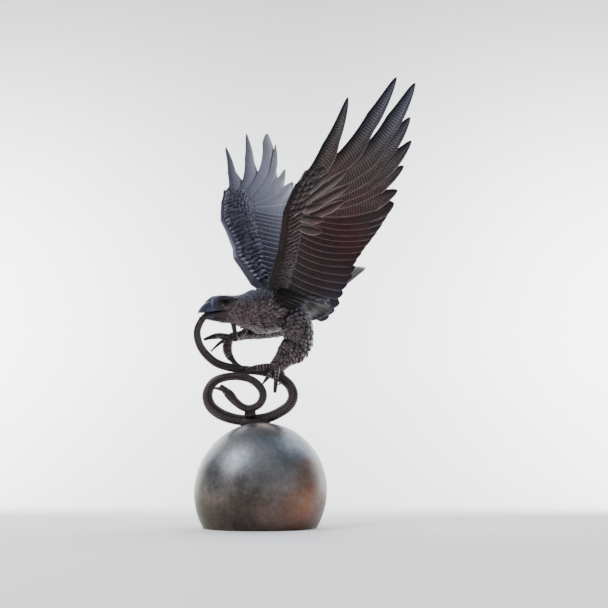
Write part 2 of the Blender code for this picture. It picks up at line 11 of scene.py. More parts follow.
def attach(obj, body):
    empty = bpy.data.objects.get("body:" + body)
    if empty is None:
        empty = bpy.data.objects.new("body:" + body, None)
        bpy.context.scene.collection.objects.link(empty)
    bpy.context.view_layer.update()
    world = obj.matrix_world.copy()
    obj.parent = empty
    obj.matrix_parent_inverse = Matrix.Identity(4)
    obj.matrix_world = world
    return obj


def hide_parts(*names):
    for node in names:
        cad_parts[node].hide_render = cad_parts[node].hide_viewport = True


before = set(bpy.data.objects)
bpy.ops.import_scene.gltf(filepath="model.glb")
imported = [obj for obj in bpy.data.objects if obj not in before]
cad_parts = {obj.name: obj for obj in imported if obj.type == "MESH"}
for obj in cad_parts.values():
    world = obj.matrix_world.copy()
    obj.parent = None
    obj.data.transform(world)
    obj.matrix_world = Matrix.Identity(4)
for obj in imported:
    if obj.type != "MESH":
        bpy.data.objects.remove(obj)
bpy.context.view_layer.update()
rng = np.random.default_rng(17)

# the same layout as the solids, in metres, heights from the ball's top
ballTop = 0.370
eagleTurn = math.radians(45.0)
turnCos = math.cos(eagleTurn)
turnSin = math.sin(eagleTurn)
shoulderX = -0.040
shoulderY = -0.010


def smoothRow(rows, steps):
    # a Catmull-Rom curve through rows of values
    points = np.array(rows, float)
    ends = np.vstack([points[:1], points, points[-1:]])
    out = []
    for i in range(1, len(ends) - 2):
        a, b, c, d = ends[i - 1:i + 3]
        for k in range(steps):
            t = k / steps
            out.append(0.5 * (2 * b + (c - a) * t + (2 * a - 5 * b + 4 * c - d) * t ** 2
                              + (3 * b - a - 3 * c + d) * t ** 3))
    out.append(points[-1])
    return np.array(out)


def unit(vectors):
    return vectors / np.maximum(np.linalg.norm(vectors, axis=-1, keepdims=True), 1e-9)


def ease(value, low, high):
    t = np.clip((value - low) / (high - low), 0.0, 1.0)
    return t * t * (3 - 2 * t)


def hump(value, middle, spread):
    # 1 at the middle, falling away on both sides
    return np.exp(-((value - middle) / spread) ** 2)


def runAlong(points):
    # each point's distance from the first one, along their line
    return np.concatenate([[0], np.cumsum(np.linalg.norm(np.diff(points, axis=0), axis=1))])


def angles(around):
    return np.arange(around) * 2 * np.pi / around


def toneSet(relief, bloomAndSheen, warmth):
    # what the bronze shader reads at each point, each from 0 to 1; the second holds bloom and
    # painted sky sheen
    return np.stack(np.broadcast_arrays(relief, bloomAndSheen, warmth), -1)


def eaglePoints(back, left, height):
    back, left, height = np.broadcast_arrays(back, left, height)
    return np.stack([shoulderX + back * turnCos + left * turnSin,
                     shoulderY + back * turnSin - left * turnCos,
                     ballTop + height], -1)


def newBag():
    return {"points": [], "tones": [], "quads": [], "tris": [], "count": 0}


def addPart(bag, points, tones, quads, tris):
    bag["points"].append(points)
    bag["tones"].append(tones)
    bag["quads"].append(quads + bag["count"])
    bag["tris"].append(tris + bag["count"])
    bag["count"] += len(points)


def addTube(bag, rings, tones):
    # rings of points, closed around and capped with a fan at both ends
    rows, around = rings.shape[:2]
    index = np.arange(rows * around).reshape(rows, around)
    beside = np.roll(index, -1, axis=1)
    quads = np.stack([index[:-1], beside[:-1], beside[1:], index[1:]], -1).reshape(-1, 4)
    middle = rows * around
    tris = [np.stack([beside[0], index[0], np.full(around, middle)], -1),
            np.stack([index[-1], beside[-1], np.full(around, middle + 1)], -1)]
    points = np.vstack([rings.reshape(-1, 3), rings[0].mean(0), rings[-1].mean(0)])
    tones = np.broadcast_to(np.asarray(tones, float), (rows, around, 3))
    tones = np.vstack([tones.reshape(-1, 3), tones[0].mean(0), tones[-1].mean(0)])
    addPart(bag, points, tones, quads, np.vstack(tris))


def meshFrom(bag, name):
    faces = np.vstack(bag["quads"]).tolist() + np.vstack(bag["tris"]).tolist()
    mesh = bpy.data.meshes.new(name)
    mesh.from_pydata(np.vstack(bag["points"]).tolist(), [], faces)
    paintTones(mesh, np.vstack(bag["tones"]))
    return mesh


def paintTones(mesh, tones):
    for column, word in enumerate(("relief", "bloomAndSheen", "warmth")):
        layer = mesh.attributes.new(word, "FLOAT", "POINT")
        layer.data.foreach_set("value", np.ascontiguousarray(tones[:, column], np.float32))


def showPiece(mesh, name, node, material, smoothAngle=50.0):
    # a finished piece in the scene, standing for one of the solids
    bm = bmesh.new()
    bm.from_mesh(mesh)
    bmesh.ops.recalc_face_normals(bm, faces=bm.faces)
    bm.to_mesh(mesh)
    bm.free()
    mesh.shade_smooth()
    mesh.set_sharp_from_angle(angle=math.radians(smoothAngle))
    mesh.materials.append(material)
    piece = bpy.data.objects.new(name, mesh)
    bpy.context.scene.collection.objects.link(piece)
    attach(piece, "root")
    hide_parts(node)
    print(f"{name}: {sum(len(face.vertices) - 2 for face in mesh.polygons)} triangles")


def showEagle(mesh, name, smoothAngle=50.0):
    showPiece(mesh, name, "eagle", eagleBronze, smoothAngle)


def addNode(tree, kind, place, **values):
    node = tree.nodes.new(kind)
    node.location = place
    for word, value in values.items():
        if hasattr(node, word):
            setattr(node, word, value)
        else:
            node.inputs[word.replace("_", " ")].default_value = value
    return node


def newMaterial(name):
    material = bpy.data.materials.new(name)
    material.use_nodes = True
    tree = material.node_tree
    return material, tree, tree.nodes["Principled BSDF"]


def ramp(tree, source, stops, place):
    node = addNode(tree, "ShaderNodeValToRGB", place)
    bar = node.color_ramp
    bar.elements[0].position = stops[0][0]
    bar.elements[0].color = (*stops[0][1], 1.0)
    bar.elements[1].position = stops[-1][0]
    bar.elements[1].color = (*stops[-1][1], 1.0)
    for spot, colour in stops[1:-1]:
        bar.elements.new(spot).color = (*colour, 1.0)
    tree.links.new(source, node.inputs["Fac"])
    return node.outputs["Color"]


def greyRamp(tree, source, low, high, place):
    # low and high are each a spot on the ramp and the brightness there
    return ramp(tree, source, [(spot, (bright,) * 3) for spot, bright in (low, high)], place)


def mixColour(tree, amount, low, high, place, blend="MIX"):
    node = addNode(tree, "ShaderNodeMix", place, data_type="RGBA", blend_type=blend)
    sockets = {"Factor": node.inputs[0], "A": node.inputs[6], "B": node.inputs[7]}
    for word, value in (("Factor", amount), ("A", low), ("B", high)):
        if isinstance(value, bpy.types.NodeSocket):
            tree.links.new(value, sockets[word])
        elif word == "Factor":
            sockets[word].default_value = value
        else:
            sockets[word].default_value = (*value, 1.0)
    return node.outputs[2]


def sums(tree, kind, first, second, place, clamp=False):
    node = addNode(tree, "ShaderNodeMath", place, operation=kind, use_clamp=clamp)
    for socket, value in zip(node.inputs, (first, second)):
        if isinstance(value, bpy.types.NodeSocket):
            tree.links.new(value, socket)
        else:
            socket.default_value = value
    return node.outputs[0]


def noiseOf(tree, coords, scale, detail, place, stretch=None):
    node = addNode(tree, "ShaderNodeTexNoise", place, Scale=scale, Detail=detail)
    node.inputs["Roughness"].default_value = 0.6
    if stretch:
        mapping = addNode(tree, "ShaderNodeMapping", (place[0] - 200, place[1]))
        mapping.inputs["Scale"].default_value = stretch
        tree.links.new(coords, mapping.inputs["Vector"])
        coords = mapping.outputs["Vector"]
    tree.links.new(coords, node.inputs["Vector"])
    return node.outputs["Fac"]


def swayed(tree, value, noise, amount, place, clamp=False):
    # the value goes up and down with the noise
    x, y = place
    sway = sums(tree, "SUBTRACT", noise, 0.5, (x - 200, y))
    sway = sums(tree, "MULTIPLY", sway, amount, (x - 100, y))
    return sums(tree, "ADD", value, sway, place, clamp)


def finishMetal(tree, shader, base, grain, look):
    tree.links.new(base, shader.inputs["Base Color"])
    rough = greyRamp(tree, grain, (0.3, look["rough"][0]), (0.7, look["rough"][1]), (-400, -300))
    tree.links.new(rough, shader.inputs["Roughness"])
    shader.inputs["Metallic"].default_value = look["metallic"]
    bump = addNode(tree, "ShaderNodeBump", (-200, -500), Strength=look["bump"],
                   Distance=look["bumpDepth"])
    tree.links.new(grain, bump.inputs["Height"])
    tree.links.new(bump.outputs["Normal"], shader.inputs["Normal"])


def bronze(name, look):
    # cast bronze: the relief tone darkens the hollows and lightens the ridges, partly patina and
    # partly painted shade and highlights, with bloom, painted sky sheen and warm patches
    material, tree, shader = newMaterial(name)
    coords = addNode(tree, "ShaderNodeTexCoord", (-1600, 0)).outputs["Object"]
    tone = {word: addNode(tree, "ShaderNodeAttribute", (-1600, -200 * i), attribute_name=word)
            .outputs["Fac"] for i, word in enumerate(("relief", "bloomAndSheen", "warmth"), 1)}
    broad = noiseOf(tree, coords, look["broad"], 4.0, (-1200, 300))
    fine = noiseOf(tree, coords, look["fine"], 6.0, (-1200, 0))
    # the relief tone with grain, which carries painted shade and highlights as well as patina
    shadeTone = swayed(tree, tone["relief"], fine, look["fineShare"], (-800, 0), True)
    base = ramp(tree, shadeTone, look["metal"], (-600, 200))
    for word, tint, patches, y in (("warmth", "warm", ((0.35, 0.3), (0.65, 1.0)), -300),
                                   ("bloomAndSheen", "bloomAndSheenTint", ((0.3, 0.65), (0.7, 1.0)), -600)):
        patches = greyRamp(tree, broad, *patches, (-1000, y))
        amount = sums(tree, "MULTIPLY", tone[word], patches, (-800, y), True)
        tinted = ramp(tree, shadeTone, look[tint], (-600, y + 100))
        base = mixColour(tree, amount, base, tinted, (-200, y + 400))
    finishMetal(tree, shader, base, fine, look)
    return material


eagleLook = {
    "broad": 7.0, "fine": 160.0, "fineShare": 0.38, "rough": (0.28, 0.50), "metallic": 0.72,
    "bump": 0.5, "bumpDepth": 0.0012,
    "metal": ((0.0, (0.003, 0.003, 0.003)), (0.45, (0.032, 0.027, 0.025)),
              (1.0, (0.315, 0.272, 0.240))),
    "warm": ((0.0, (0.006, 0.002, 0.002)), (0.45, (0.062, 0.017, 0.019)),
             (1.0, (0.290, 0.120, 0.105))),
    "bloomAndSheenTint": ((0.0, (0.008, 0.009, 0.018)), (0.45, (0.078, 0.084, 0.138)),
                (1.0, (0.350, 0.360, 0.490))),
}
snakeLook = {
    **eagleLook, "broad": 9.0, "fine": 190.0,
    "metal": ((0.0, (0.008, 0.006, 0.006)), (0.45, (0.040, 0.030, 0.027)),
              (1.0, (0.190, 0.150, 0.130))),
    "warm": ((0.0, (0.012, 0.005, 0.004)), (0.45, (0.080, 0.036, 0.024)),
             (1.0, (0.250, 0.130, 0.090))),
    "bloomAndSheenTint": ((0.0, (0.030, 0.034, 0.044)), (0.45, (0.110, 0.115, 0.150)),
                (1.0, (0.300, 0.310, 0.380))),
}
eagleBronze = bronze("eagleBronze", eagleLook)
snakeBronze = bronze("snakeBronze", snakeLook)
print("materials ready")

wing = {
    "wrist": 0.365, "chord": 0.500, "camber": 0.035, "leanStart": 0.6, "leanSpan": 1.2,
    "tuckAlong": 0.13, "leanSteps": 12, "rootInset": 0.035,
    "rows": 110, "across": 22, "handEnd": 0.562, "runOut": 0.07, "armTone": 0.34,
    "arm": ((-0.060, 0.070, 0.200, 0.014), (0.010, 0.014, 0.240, 0.024),
            (0.090, 0.024, 0.265, 0.022), (0.180, 0.034, 0.290, 0.020),
            (0.268, 0.022, 0.305, 0.018), (0.327, 0.010, 0.315, 0.017),
            (0.375, 0.018, 0.315, 0.016), (0.441, 0.032, 0.300, 0.014),
            (0.500, 0.060, 0.270, 0.011), (0.560, 0.095, 0.215, 0.007)),
    # the arm's section thins out behind the bone, so that the feathers come out of it
    "section": ((0.0, 0.0), (0.03, 0.55), (0.09, 0.88), (0.20, 1.0), (0.33, 0.82),
                (0.42, 0.48), (0.50, 0.14), (0.60, 0.04), (1.0, 0.02)),
}
# each hand feather's root, then on each wing its tip, bow, width and point
handRoots = ((0.420, 0.080), (0.450, 0.120), (0.470, 0.160), (0.460, 0.185), (0.445, 0.190),
             (0.425, 0.190), (0.405, 0.190))
nearWing = {
    "side": 1, "out": 0.055, "height": 0.499, "ahead": 0.000,
    "armLean": 17.0, "handLean": 35.0, "turn": 0.0, "tuck": 0.0,
    "fingers": (0.60, 0.34, 0.30, 0.45, 0.60, 0.80, 0.90),
    "handTips": (
        (0.855, 0.127, 0.100, 0.098, 0.52), (1.036, 0.330, 0.138, 0.104, 0.70),
        (1.060, 0.430, 0.192, 0.112, 0.74), (0.926, 0.477, 0.166, 0.102, 0.74),
        (0.844, 0.540, 0.140, 0.098, 0.74), (0.732, 0.562, 0.095, 0.095, 0.70),
        (0.624, 0.592, 0.070, 0.095, 0.70))}
farWing = {
    "side": -1, "out": 0.064, "height": 0.549, "ahead": -0.068,
    "armLean": 19.5, "handLean": 22.0, "turn": -9.0, "tuck": 0.070,
    "fingers": (0.10, 0.30, 0.75, 0.00, 0.20, 0.50, 0.80),
    "handTips": (
        (0.818, 0.128, 0.062, 0.086, 0.52), (0.982, 0.278, 0.088, 0.095, 0.60),
        (1.088, 0.450, 0.100, 0.110, 0.80), (1.034, 0.494, 0.092, 0.080, 0.70),
        (0.846, 0.500, 0.080, 0.094, 0.60), (0.765, 0.525, 0.070, 0.090, 0.65),
        (0.640, 0.580, 0.060, 0.095, 0.70))}
# the other feathers: root along and back, tip along and back, bow, width, point
secondaries = (
    (0.385, 0.180, 0.566, 0.606, 0.050, 0.095, 0.70),
    (0.350, 0.170, 0.480, 0.584, 0.040, 0.100, 0.78),
    (0.310, 0.160, 0.412, 0.556, 0.030, 0.100, 0.80),
    (0.265, 0.150, 0.340, 0.512, 0.025, 0.100, 0.80),
    (0.220, 0.140, 0.266, 0.484, 0.015, 0.100, 0.80),
    (0.170, 0.130, 0.194, 0.480, 0.010, 0.100, 0.80),
    (0.120, 0.110, 0.122, 0.454, 0.000, 0.100, 0.80),
    (0.070, 0.090, 0.038, 0.442, -0.010, 0.095, 0.80),
    (0.020, 0.080, -0.020, 0.404, -0.020, 0.090, 0.80))
alula = (0.330, 0.045, 0.522, 0.064, 0.020, 0.050, 0.60)
# pointed coverts over the hand on the under side, as the photograph shows them
lances = (
    (0.400, 0.070, 0.519, 0.145, 0.008, 0.040, 0.55),
    (0.425, 0.085, 0.556, 0.193, 0.010, 0.044, 0.55),
    (0.455, 0.160, 0.601, 0.282, 0.010, 0.044, 0.55),
    (0.410, 0.120, 0.536, 0.221, 0.008, 0.042, 0.55),
    (0.410, 0.165, 0.549, 0.325, 0.010, 0.046, 0.60),
    (0.370, 0.110, 0.443, 0.234, 0.006, 0.042, 0.55),
    (0.360, 0.165, 0.480, 0.331, 0.010, 0.046, 0.60),
    (0.335, 0.090, 0.372, 0.254, 0.004, 0.046, 0.60),
    (0.300, 0.110, 0.322, 0.262, 0.004, 0.044, 0.60))
flight = {"secondaries": 15, "secondaryWidth": 0.074, "rootBack": 0.070, "tilt": 0.0066,
          # each blade's top edge gets a painted highlight and the edge under the next blade gets
          # painted shade
          "underlapShade": 0.45, "rimHighlight": 0.45, "droop": 0.040, "round": 0.88,
          "ground": 0.08, "barbTone": 0.58, "shaftTone": 0.50, "slant": 0.9,
          "rim": 0.0010, "middle": 0.0034, "shaft": 0.0026, "shaftWidth": 0.0045,
          "rowPitch": 0.0034, "columns": 11,
          "plain": {"barbTone": 0.42, "shaftTone": 0.26}}
pointed = {"rootBack": 0.0, "tilt": 0.0020, "middle": 0.0066, "shaft": 0.0016,
           "shaftWidth": 0.0035, "rowPitch": 0.0036, "columns": 13, "barb": 0.0004,
           # a negative shade amount lightens the tucked edge of the pointed coverts, a painted rim
           # highlight
           "underlapShade": -0.55, "ground": 0.36, "barbTone": 0.08, "shaftTone": 0.16,
           "layShare": 0.62, "layLeast": 0.0078, "alulaLay": 0.004}
# patches of small coverts: face, first and last inset, first and last place along, size
armScales = {"pitchAlong": 0.0180, "pitchBack": 0.0150, "length": 0.025, "width": 0.0178,
             # the under face's scales are darker than the upper face's: painted shade
             "lift": 0.0066, "stray": 0.0012, "underTone": 0.28, "upperTone": 0.40,
             "toneSpread": 0.2,
             "patches": ((1, 0.016, 0.105, -0.010, 0.330, 0.88),
                         (1, 0.012, 0.100, 0.330, 0.535, 1.50),
                         (-1, 0.011, 0.150, -0.030, 0.500, 1.12))}


def wingLean(one, along):
    t = ease(along, wing["leanStart"] * wing["wrist"],
             (wing["leanStart"] + wing["leanSpan"]) * wing["wrist"])
    return np.radians(one["armLean"] + (one["handLean"] - one["armLean"]) * t)


def wingPoints(one, along, back, out):
    along, back, out = np.broadcast_arrays(along, back, out)
    reach = np.zeros(along.shape)
    rise = np.zeros(along.shape)
    steps = wing["leanSteps"]
    for i in range(steps):
        lean = wingLean(one, along * (i + 0.5) / steps)
        reach = reach + np.sin(lean) * along / steps
        rise = rise + np.cos(lean) * along / steps
    side = one["side"]
    left = np.array([turnSin, -turnCos, 0.0]) * side
    turn = eagleTurn - side * math.radians(one["turn"])
    aft = np.array([math.cos(turn), math.sin(turn), 0.0])
    up = np.array([0.0, 0.0, 1.0])
    lean = wingLean(one, along)[..., None]
    under = left * np.cos(lean) - up * np.sin(lean)
    x = np.clip(back / wing["chord"], 0.0, 1.0)
    hollow = wing["camber"] * 4 * x * (1 - x)
    shoulder = eaglePoints(one["ahead"], side * one["out"], one["height"])
    return (shoulder + aft * back[..., None] + left * reach[..., None] + up * rise[..., None]
            + under * (out - hollow)[..., None])


def tuckedBack(one, along):
    # a tucked wing starts further back near the body
    return one["tuck"] * np.maximum(0.0, 1 - np.maximum(along, 0) / wing["tuckAlong"])


def armEdges(one, along):
    # the arm's front edge, rear edge and half thickness
    arm = np.array(wing["arm"])
    front, rear, half = (np.interp(along, arm[:, 0], arm[:, k]) for k in (1, 2, 3))
    return front + tuckedBack(one, along), rear, half


def armThickness(one, along, back):
    front, rear, half = armEdges(one, along)
    section = np.array(wing["section"])
    x = np.clip((back - front) / (rear - front), 0.0, 1.0)
    return half * np.interp(x, section[:, 0], section[:, 1])


# the under faces are painted in shade, dark with maroon, the upper faces carry a painted sky sheen
# as pale bloom, and the tips carry pale bloom;
# where each tone lies along and back on the wing, then amounts, first at the root
patinaAndSheen = {"tip": (0.66, 1.02), "rear": (0.27, 0.46), "root": (0.02, 0.22),
          "maroon": (0.36, 0.26), "maroonBack": (0.05, 0.22), "maroonWarm": 0.85,
          "strip": (0.26, 0.17), "stripBack": (0.08, 0.16), "stripWarm": 0.75,
          "underBloom": (0.04, 0.62, 0.42), "underShading": (0.90, 0.10),
          "upperSkySheen": (0.62, -0.14), "upperShading": (0.92, -0.32), "upperWarm": 0.16}


def wingTones(along, back, under, relief):
    tip = ease(along, *patinaAndSheen["tip"])
    rear = ease(back, *patinaAndSheen["rear"]) * (1 - ease(along, *patinaAndSheen["root"]))
    maroon = hump(along, *patinaAndSheen["maroon"]) * ease(back, *patinaAndSheen["maroonBack"])
    strip = hump(along, *patinaAndSheen["strip"]) * (1 - ease(back, *patinaAndSheen["stripBack"]))
    warm = np.clip(patinaAndSheen["maroonWarm"] * maroon + patinaAndSheen["stripWarm"] * strip, 0, 0.95)
    base, tipGain, rearGain = patinaAndSheen["underBloom"]
    underBloom = base + tipGain * tip + rearGain * rear
    upperSkySheen, underShading, upperShading = (patinaAndSheen[word][0] + patinaAndSheen[word][1] * tip
                                        for word in ("upperSkySheen", "underShading", "upperShading"))
    # the under and upper faces differ by painted light: shade on the under face, sky sheen on the
    # upper face
    return toneSet(relief * np.where(under, underShading, upperShading),
                   np.where(under, underBloom, upperSkySheen),
                   np.where(under, warm, patinaAndSheen["upperWarm"]))


def bladeWidth(t, point):
    rising = 0.75 + 0.25 * t / point
    closing = np.maximum(np.maximum((1 - t) / (1 - point), 0.0) ** 0.54, 0.05)
    return np.where(t < point, rising, closing)


def ridges(phase):
    # rounded crests with narrow grooves between them
    return np.abs(np.sin(np.pi * phase)) ** 0.7


def featherPlan(feather, rows, columns, rootBack, finger):
    rootAlong, rootSet, tipAlong, tipBack, bow, width, point = feather
    root = np.array([rootAlong, rootSet])
    tip = np.array([tipAlong, tipBack])
    line = tip - root
    side = np.array([-line[1], line[0]]) / np.linalg.norm(line)
    middle = (root + tip) / 2 + side * bow
    start = -rootBack / np.linalg.norm(line)
    t = start + (1 - start) * (1 - (1 - np.linspace(0, 1, rows)) ** 1.25)
    centre = (root * (1 - t[:, None]) ** 2 + middle * 2 * t[:, None] * (1 - t[:, None])
              + tip * t[:, None] ** 2)
    ahead = unit((middle - root) * (1 - t[:, None]) + (tip - middle) * t[:, None])
    across = np.stack([-ahead[:, 1], ahead[:, 0]], -1)
    half = 0.5 * width * bladeWidth(np.maximum(t, 0.0), point)
    u = np.sin(np.linspace(-0.5, 0.5, columns) * np.pi)
    # the rear side of a finger feather draws in, so that its tip stands free
    drawn = np.where(u > 0, 1 - (1 - finger) * ease(t, 0.42, 0.66)[:, None], 1.0)
    reach = u * half[:, None] * drawn
    flat = centre[:, None, :] + across[:, None, :] * reach[..., None]
    return t, runAlong(centre), half, u, np.abs(reach), flat


def addFeather(bag, place, tones, feather, depth, look, finger=1.0):
    # a closed blade with a shaft, slanting barbs and thin edges, on both of its faces
    length = math.dist(feather[0:2], feather[2:4]) + look["rootBack"]
    rows = max(8, int(length * 1.06 / look["rowPitch"]))
    t, run, half, u, apart, flat = featherPlan(feather, rows, look["columns"],
                                               look["rootBack"], finger)
    t = t[:, None]
    run = run[:, None]
    fade = np.clip(half[:, None] / half.max(), 0.15, 1.0)
    vane = look["rim"] + (look["middle"] - look["rim"]) * (1 - np.abs(u)[None, :] ** 1.6) * fade
    shaft = hump(apart, 0.0, look["shaftWidth"] * (1.15 - 0.75 * np.clip(t, 0, 1)))
    barbs = ridges((run - look["slant"] * apart) / look["barbPitch"])
    window = ease(apart, 0.002, 0.006) * (1 - ease(np.abs(u)[None, :], 0.90, 1.0))
    window = window * (1 - 0.4 * ease(t, 0.75, 1.0))
    lift = vane + look["shaft"] * shaft * (1 - 0.6 * np.clip(t, 0, 1))
    lift = lift + look["barb"] * barbs * window
    middle = depth + look["tilt"] * u[None, :] * fade
    # the crests of the barbs and the shaft are painted as highlights and the grooves between them
    # as shade
    relief = look["ground"] + look["barbTone"] * barbs * window + look["shaftTone"] * shaft
    rims = ease(np.abs(u)[None, :], 0.80, 1.0)
    rings = np.concatenate([place(flat[..., 0], flat[..., 1], middle + lift),
                            place(flat[:, ::-1, 0], flat[:, ::-1, 1], (middle - lift)[:, ::-1])], 1)
    # the edge that lies on top gets a painted highlight, the one that goes under the next blade
    # gets painted shade
    underRelief, upperRelief = (
        relief + look["rimHighlight"] * rims * (way * u > 0)
        - look["underlapShade"] * ease(-way * u, 0.35, 0.95)[None, :] for way in (1, -1))
    toneRings = np.concatenate([tones(flat[..., 0], flat[..., 1], True, underRelief),
                                tones(flat[:, ::-1, 0], flat[:, ::-1, 1], False,
                                      upperRelief[:, ::-1])], 1)
    addTube(bag, rings, toneRings)


# a small shield: its middle, then inner ring, edge and a skirt that goes into the surface,
# each ring with its share of the size, its height and its tone; the tones paint a highlight on the
# middle and inner ring and shade on the edge, the skirt and the root, where another leaf laps it
leaf = {"middle": (1.12, 0.60),
        "rings": ((0.82, 1.0, 0.66), (1.0, 0.60, 0.14), (1.06, -0.5, -0.30)),
        "rib": 0.25, "ribWidth": 0.16, "sag": 3.0, "rootShade": 0.34}


def leafShape(around, taper):
    turn = angles(around)
    x = [0.5]
    y = [0.0]
    z = [leaf["middle"][0]]
    tone = [leaf["middle"][1]]
    for share, high, shadeTone in leaf["rings"]:
        x += list(0.5 + 0.5 * share * np.cos(turn))
        y += list(share * np.sin(turn) * (1 - taper * np.cos(turn)))
        z += [high] * around
        tone += [shadeTone] * around
    index = np.arange(around) + 1
    beside = np.roll(index, -1)
    tris = np.stack([0 * index, index, beside], -1)
    quads = np.concatenate([np.stack([index, index + around, beside + around, beside], -1)
                            + ring * around for ring in range(2)])
    return np.array(x), np.array(y), np.array(z), np.array(tone), quads, tris


def addLeaves(bag, roots, normals, headings, length, width, lift, tones, around, taper):
    # many small overlapping feathers at once; each value can differ from leaf to leaf
    count = len(roots)
    x, y, z, shadeTone, quads, tris = leafShape(around, taper)
    length, width, lift = (np.broadcast_to(size, count)[:, None] for size in (length, width, lift))
    headings = unit(headings - normals * (headings * normals).sum(-1, keepdims=True))
    sides = np.cross(normals, headings)
    slope = 0.10 + 0.90 * np.clip(x, 0, 1)
    high = np.where(z > 0, z * slope, z * 0.6) * lift
    high = high + leaf["rib"] * lift * hump(y, 0.0, leaf["ribWidth"]) * (z > 0.9) * slope
    sag = leaf["sag"] * (width * y) ** 2
    points = (roots[:, None, :] + headings[:, None, :] * (x * length)[..., None]
              + sides[:, None, :] * (0.5 * width * y)[..., None]
              + normals[:, None, :] * (high - sag)[..., None])
    tones = np.repeat(tones[:, None, :], len(x), axis=1)
    # painted highlight on the middle and inner ring, painted shade on the edge, the skirt and the
    # root
    tones[..., 0] = np.clip(tones[..., 0] + shadeTone - 0.5 - leaf["rootShade"] * (x < 0.25), 0, 1)
    offset = (np.arange(count) * len(x))[:, None, None]
    addPart(bag, points.reshape(-1, 3), tones.reshape(-1, 3),
            (quads[None] + offset).reshape(-1, 4), (tris[None] + offset).reshape(-1, 3))


def addArm(bag, one):
    along = np.linspace(wing["arm"][0][0], wing["arm"][-1][0], wing["rows"])
    front, rear, half = armEdges(one, along)
    # the hand end runs out to nothing
    half = half * np.sqrt(np.clip((wing["handEnd"] - along) / wing["runOut"], 0, 1))
    x = (1 - np.cos(np.linspace(0, 1, wing["across"]) * np.pi)) / 2
    x = np.concatenate([x, x[-2:0:-1]])
    face = np.concatenate([np.ones(wing["across"]), -np.ones(wing["across"] - 2)])
    section = np.array(wing["section"])
    share = np.interp(x, section[:, 0], section[:, 1])
    back = front[:, None] + (rear - front)[:, None] * x
    out = half[:, None] * share * face
    rings = wingPoints(one, along[:, None], back, out)
    tones = wingTones(along[:, None], back, face > 0, wing["armTone"] + 0 * back)
    addTube(bag, rings, tones)


def addArmScales(bag, one, face, start, stop, first, last, size):
    # rows of small coverts over the arm, the rear rows first so that the front ones lap them
    spots = []
    pitch = armScales["pitchAlong"] * size
    rows = np.arange(start, stop, armScales["pitchBack"] * size)
    for r, inset in enumerate(rows[::-1]):
        spots += [(along + (r % 2) * pitch / 2, inset) for along in np.arange(first, last, pitch)]
    spots = np.array(spots)
    spots += rng.normal(0, armScales["stray"], spots.shape)
    along = spots[:, 0]
    back = armEdges(one, along)[0] + spots[:, 1]

    def skin(a, b):
        return wingPoints(one, a, b, face * armThickness(one, a, b))

    step = 0.002
    roots = skin(along, back)
    alongWay = unit(skin(along + step, back) - roots)
    backWay = unit(skin(along, back + step) - roots)
    normals = unit(np.cross(alongWay, backWay))
    outward = unit(wingPoints(one, along, back, face * 0.1) - wingPoints(one, along, back, 0.0))
    normals *= np.sign((normals * outward).sum(-1, keepdims=True))
    swing = np.radians(4 + 50 * ease(along, 0.05, 0.48)) + rng.normal(0, 0.10, len(along))
    headings = alongWay * np.sin(swing)[:, None] + backWay * np.cos(swing)[:, None]
    scaleSize = size * (0.85 + 0.3 * rng.random(len(along)))
    # darker on the under face: painted shade
    tone = armScales["underTone" if face > 0 else "upperTone"]
    tones = wingTones(along, back, np.full(len(along), face > 0),
                      tone + armScales["toneSpread"] * (rng.random(len(along)) - 0.5))
    addLeaves(bag, roots - normals * 0.001, normals, headings, armScales["length"] * scaleSize,
              armScales["width"] * scaleSize, armScales["lift"] * scaleSize, tones, 12, 0.12)


def buildWing(one, name, look):
    place = partial(wingPoints, one)
    feathers = [(*root, *tip) for root, tip in zip(handRoots, one["handTips"])]
    table = np.array(secondaries)
    table[:, 1] += tuckedBack(one, table[:, 0])
    last = len(table) - 1
    for share in np.linspace(0, last, flight["secondaries"]):
        low = min(int(share), last - 1)
        row = table[low] + (table[low + 1] - table[low]) * (share - low)
        row[4] += flight["droop"] * (1 - 0.5 * share / last)
        row[5] = flight["secondaryWidth"]
        row[6] = flight["round"]
        feathers.append(tuple(row))
    long = newBag()
    fingers = list(one["fingers"]) + [1.0] * flight["secondaries"]
    for feather, finger in zip(feathers, fingers):
        plain = dict(flight["plain"]) if finger == 1.0 else {}
        # a root stays behind the arm's front edge
        front = float(armEdges(one, feather[0])[0])
        room = max(0.0, feather[1] - front - wing["rootInset"])
        plain["rootBack"] = min(flight["rootBack"], room)
        addFeather(long, place, wingTones, feather, 0.0, {**flight, **look, **plain}, finger)
    showEagle(meshFrom(long, name + "Feathers"), name + "Feathers")
    short = newBag()
    addArm(short, one)
    small = {**flight, **look, **pointed}
    for feather in lances:
        thick = armThickness(one, np.array(feather[0]), np.array(feather[1]))
        depth = max(float(thick * pointed["layShare"]), pointed["layLeast"])
        addFeather(short, place, wingTones, feather, depth, small)
    addFeather(short, place, wingTones, alula, pointed["alulaLay"], small)
    for patch in armScales["patches"]:
        addArmScales(short, one, *patch)
    showEagle(meshFrom(short, name + "Coverts"), name + "Coverts")


buildWing(nearWing, "nearWing", {"barbPitch": 0.0130, "barb": 0.0017})
buildWing(farWing, "farWing", {"barbPitch": 0.0135, "barb": 0.0026, "ground": 0.02,
                                "barbTone": 0.70})
print("wings ready")

tail = {"root": (0.330, 0.519), "tip": (0.630, 0.784), "feathers": 7,
        "spread": math.radians(11.0), "width": 0.064, "point": 0.88, "rootHalf": 0.016,
        "shortening": 0.06, "crown": 0.012, "tilt": 0.002,
        # the upper faces carry more bloom than the under faces: a painted sky sheen
        "reliefShare": 0.8, "upperSkySheen": 0.22, "underBloom": 0.08, "warm": 0.25,
        "look": {"rootBack": 0.02, "barbPitch": 0.011, "middle": 0.0048, "barb": 0.0012}}


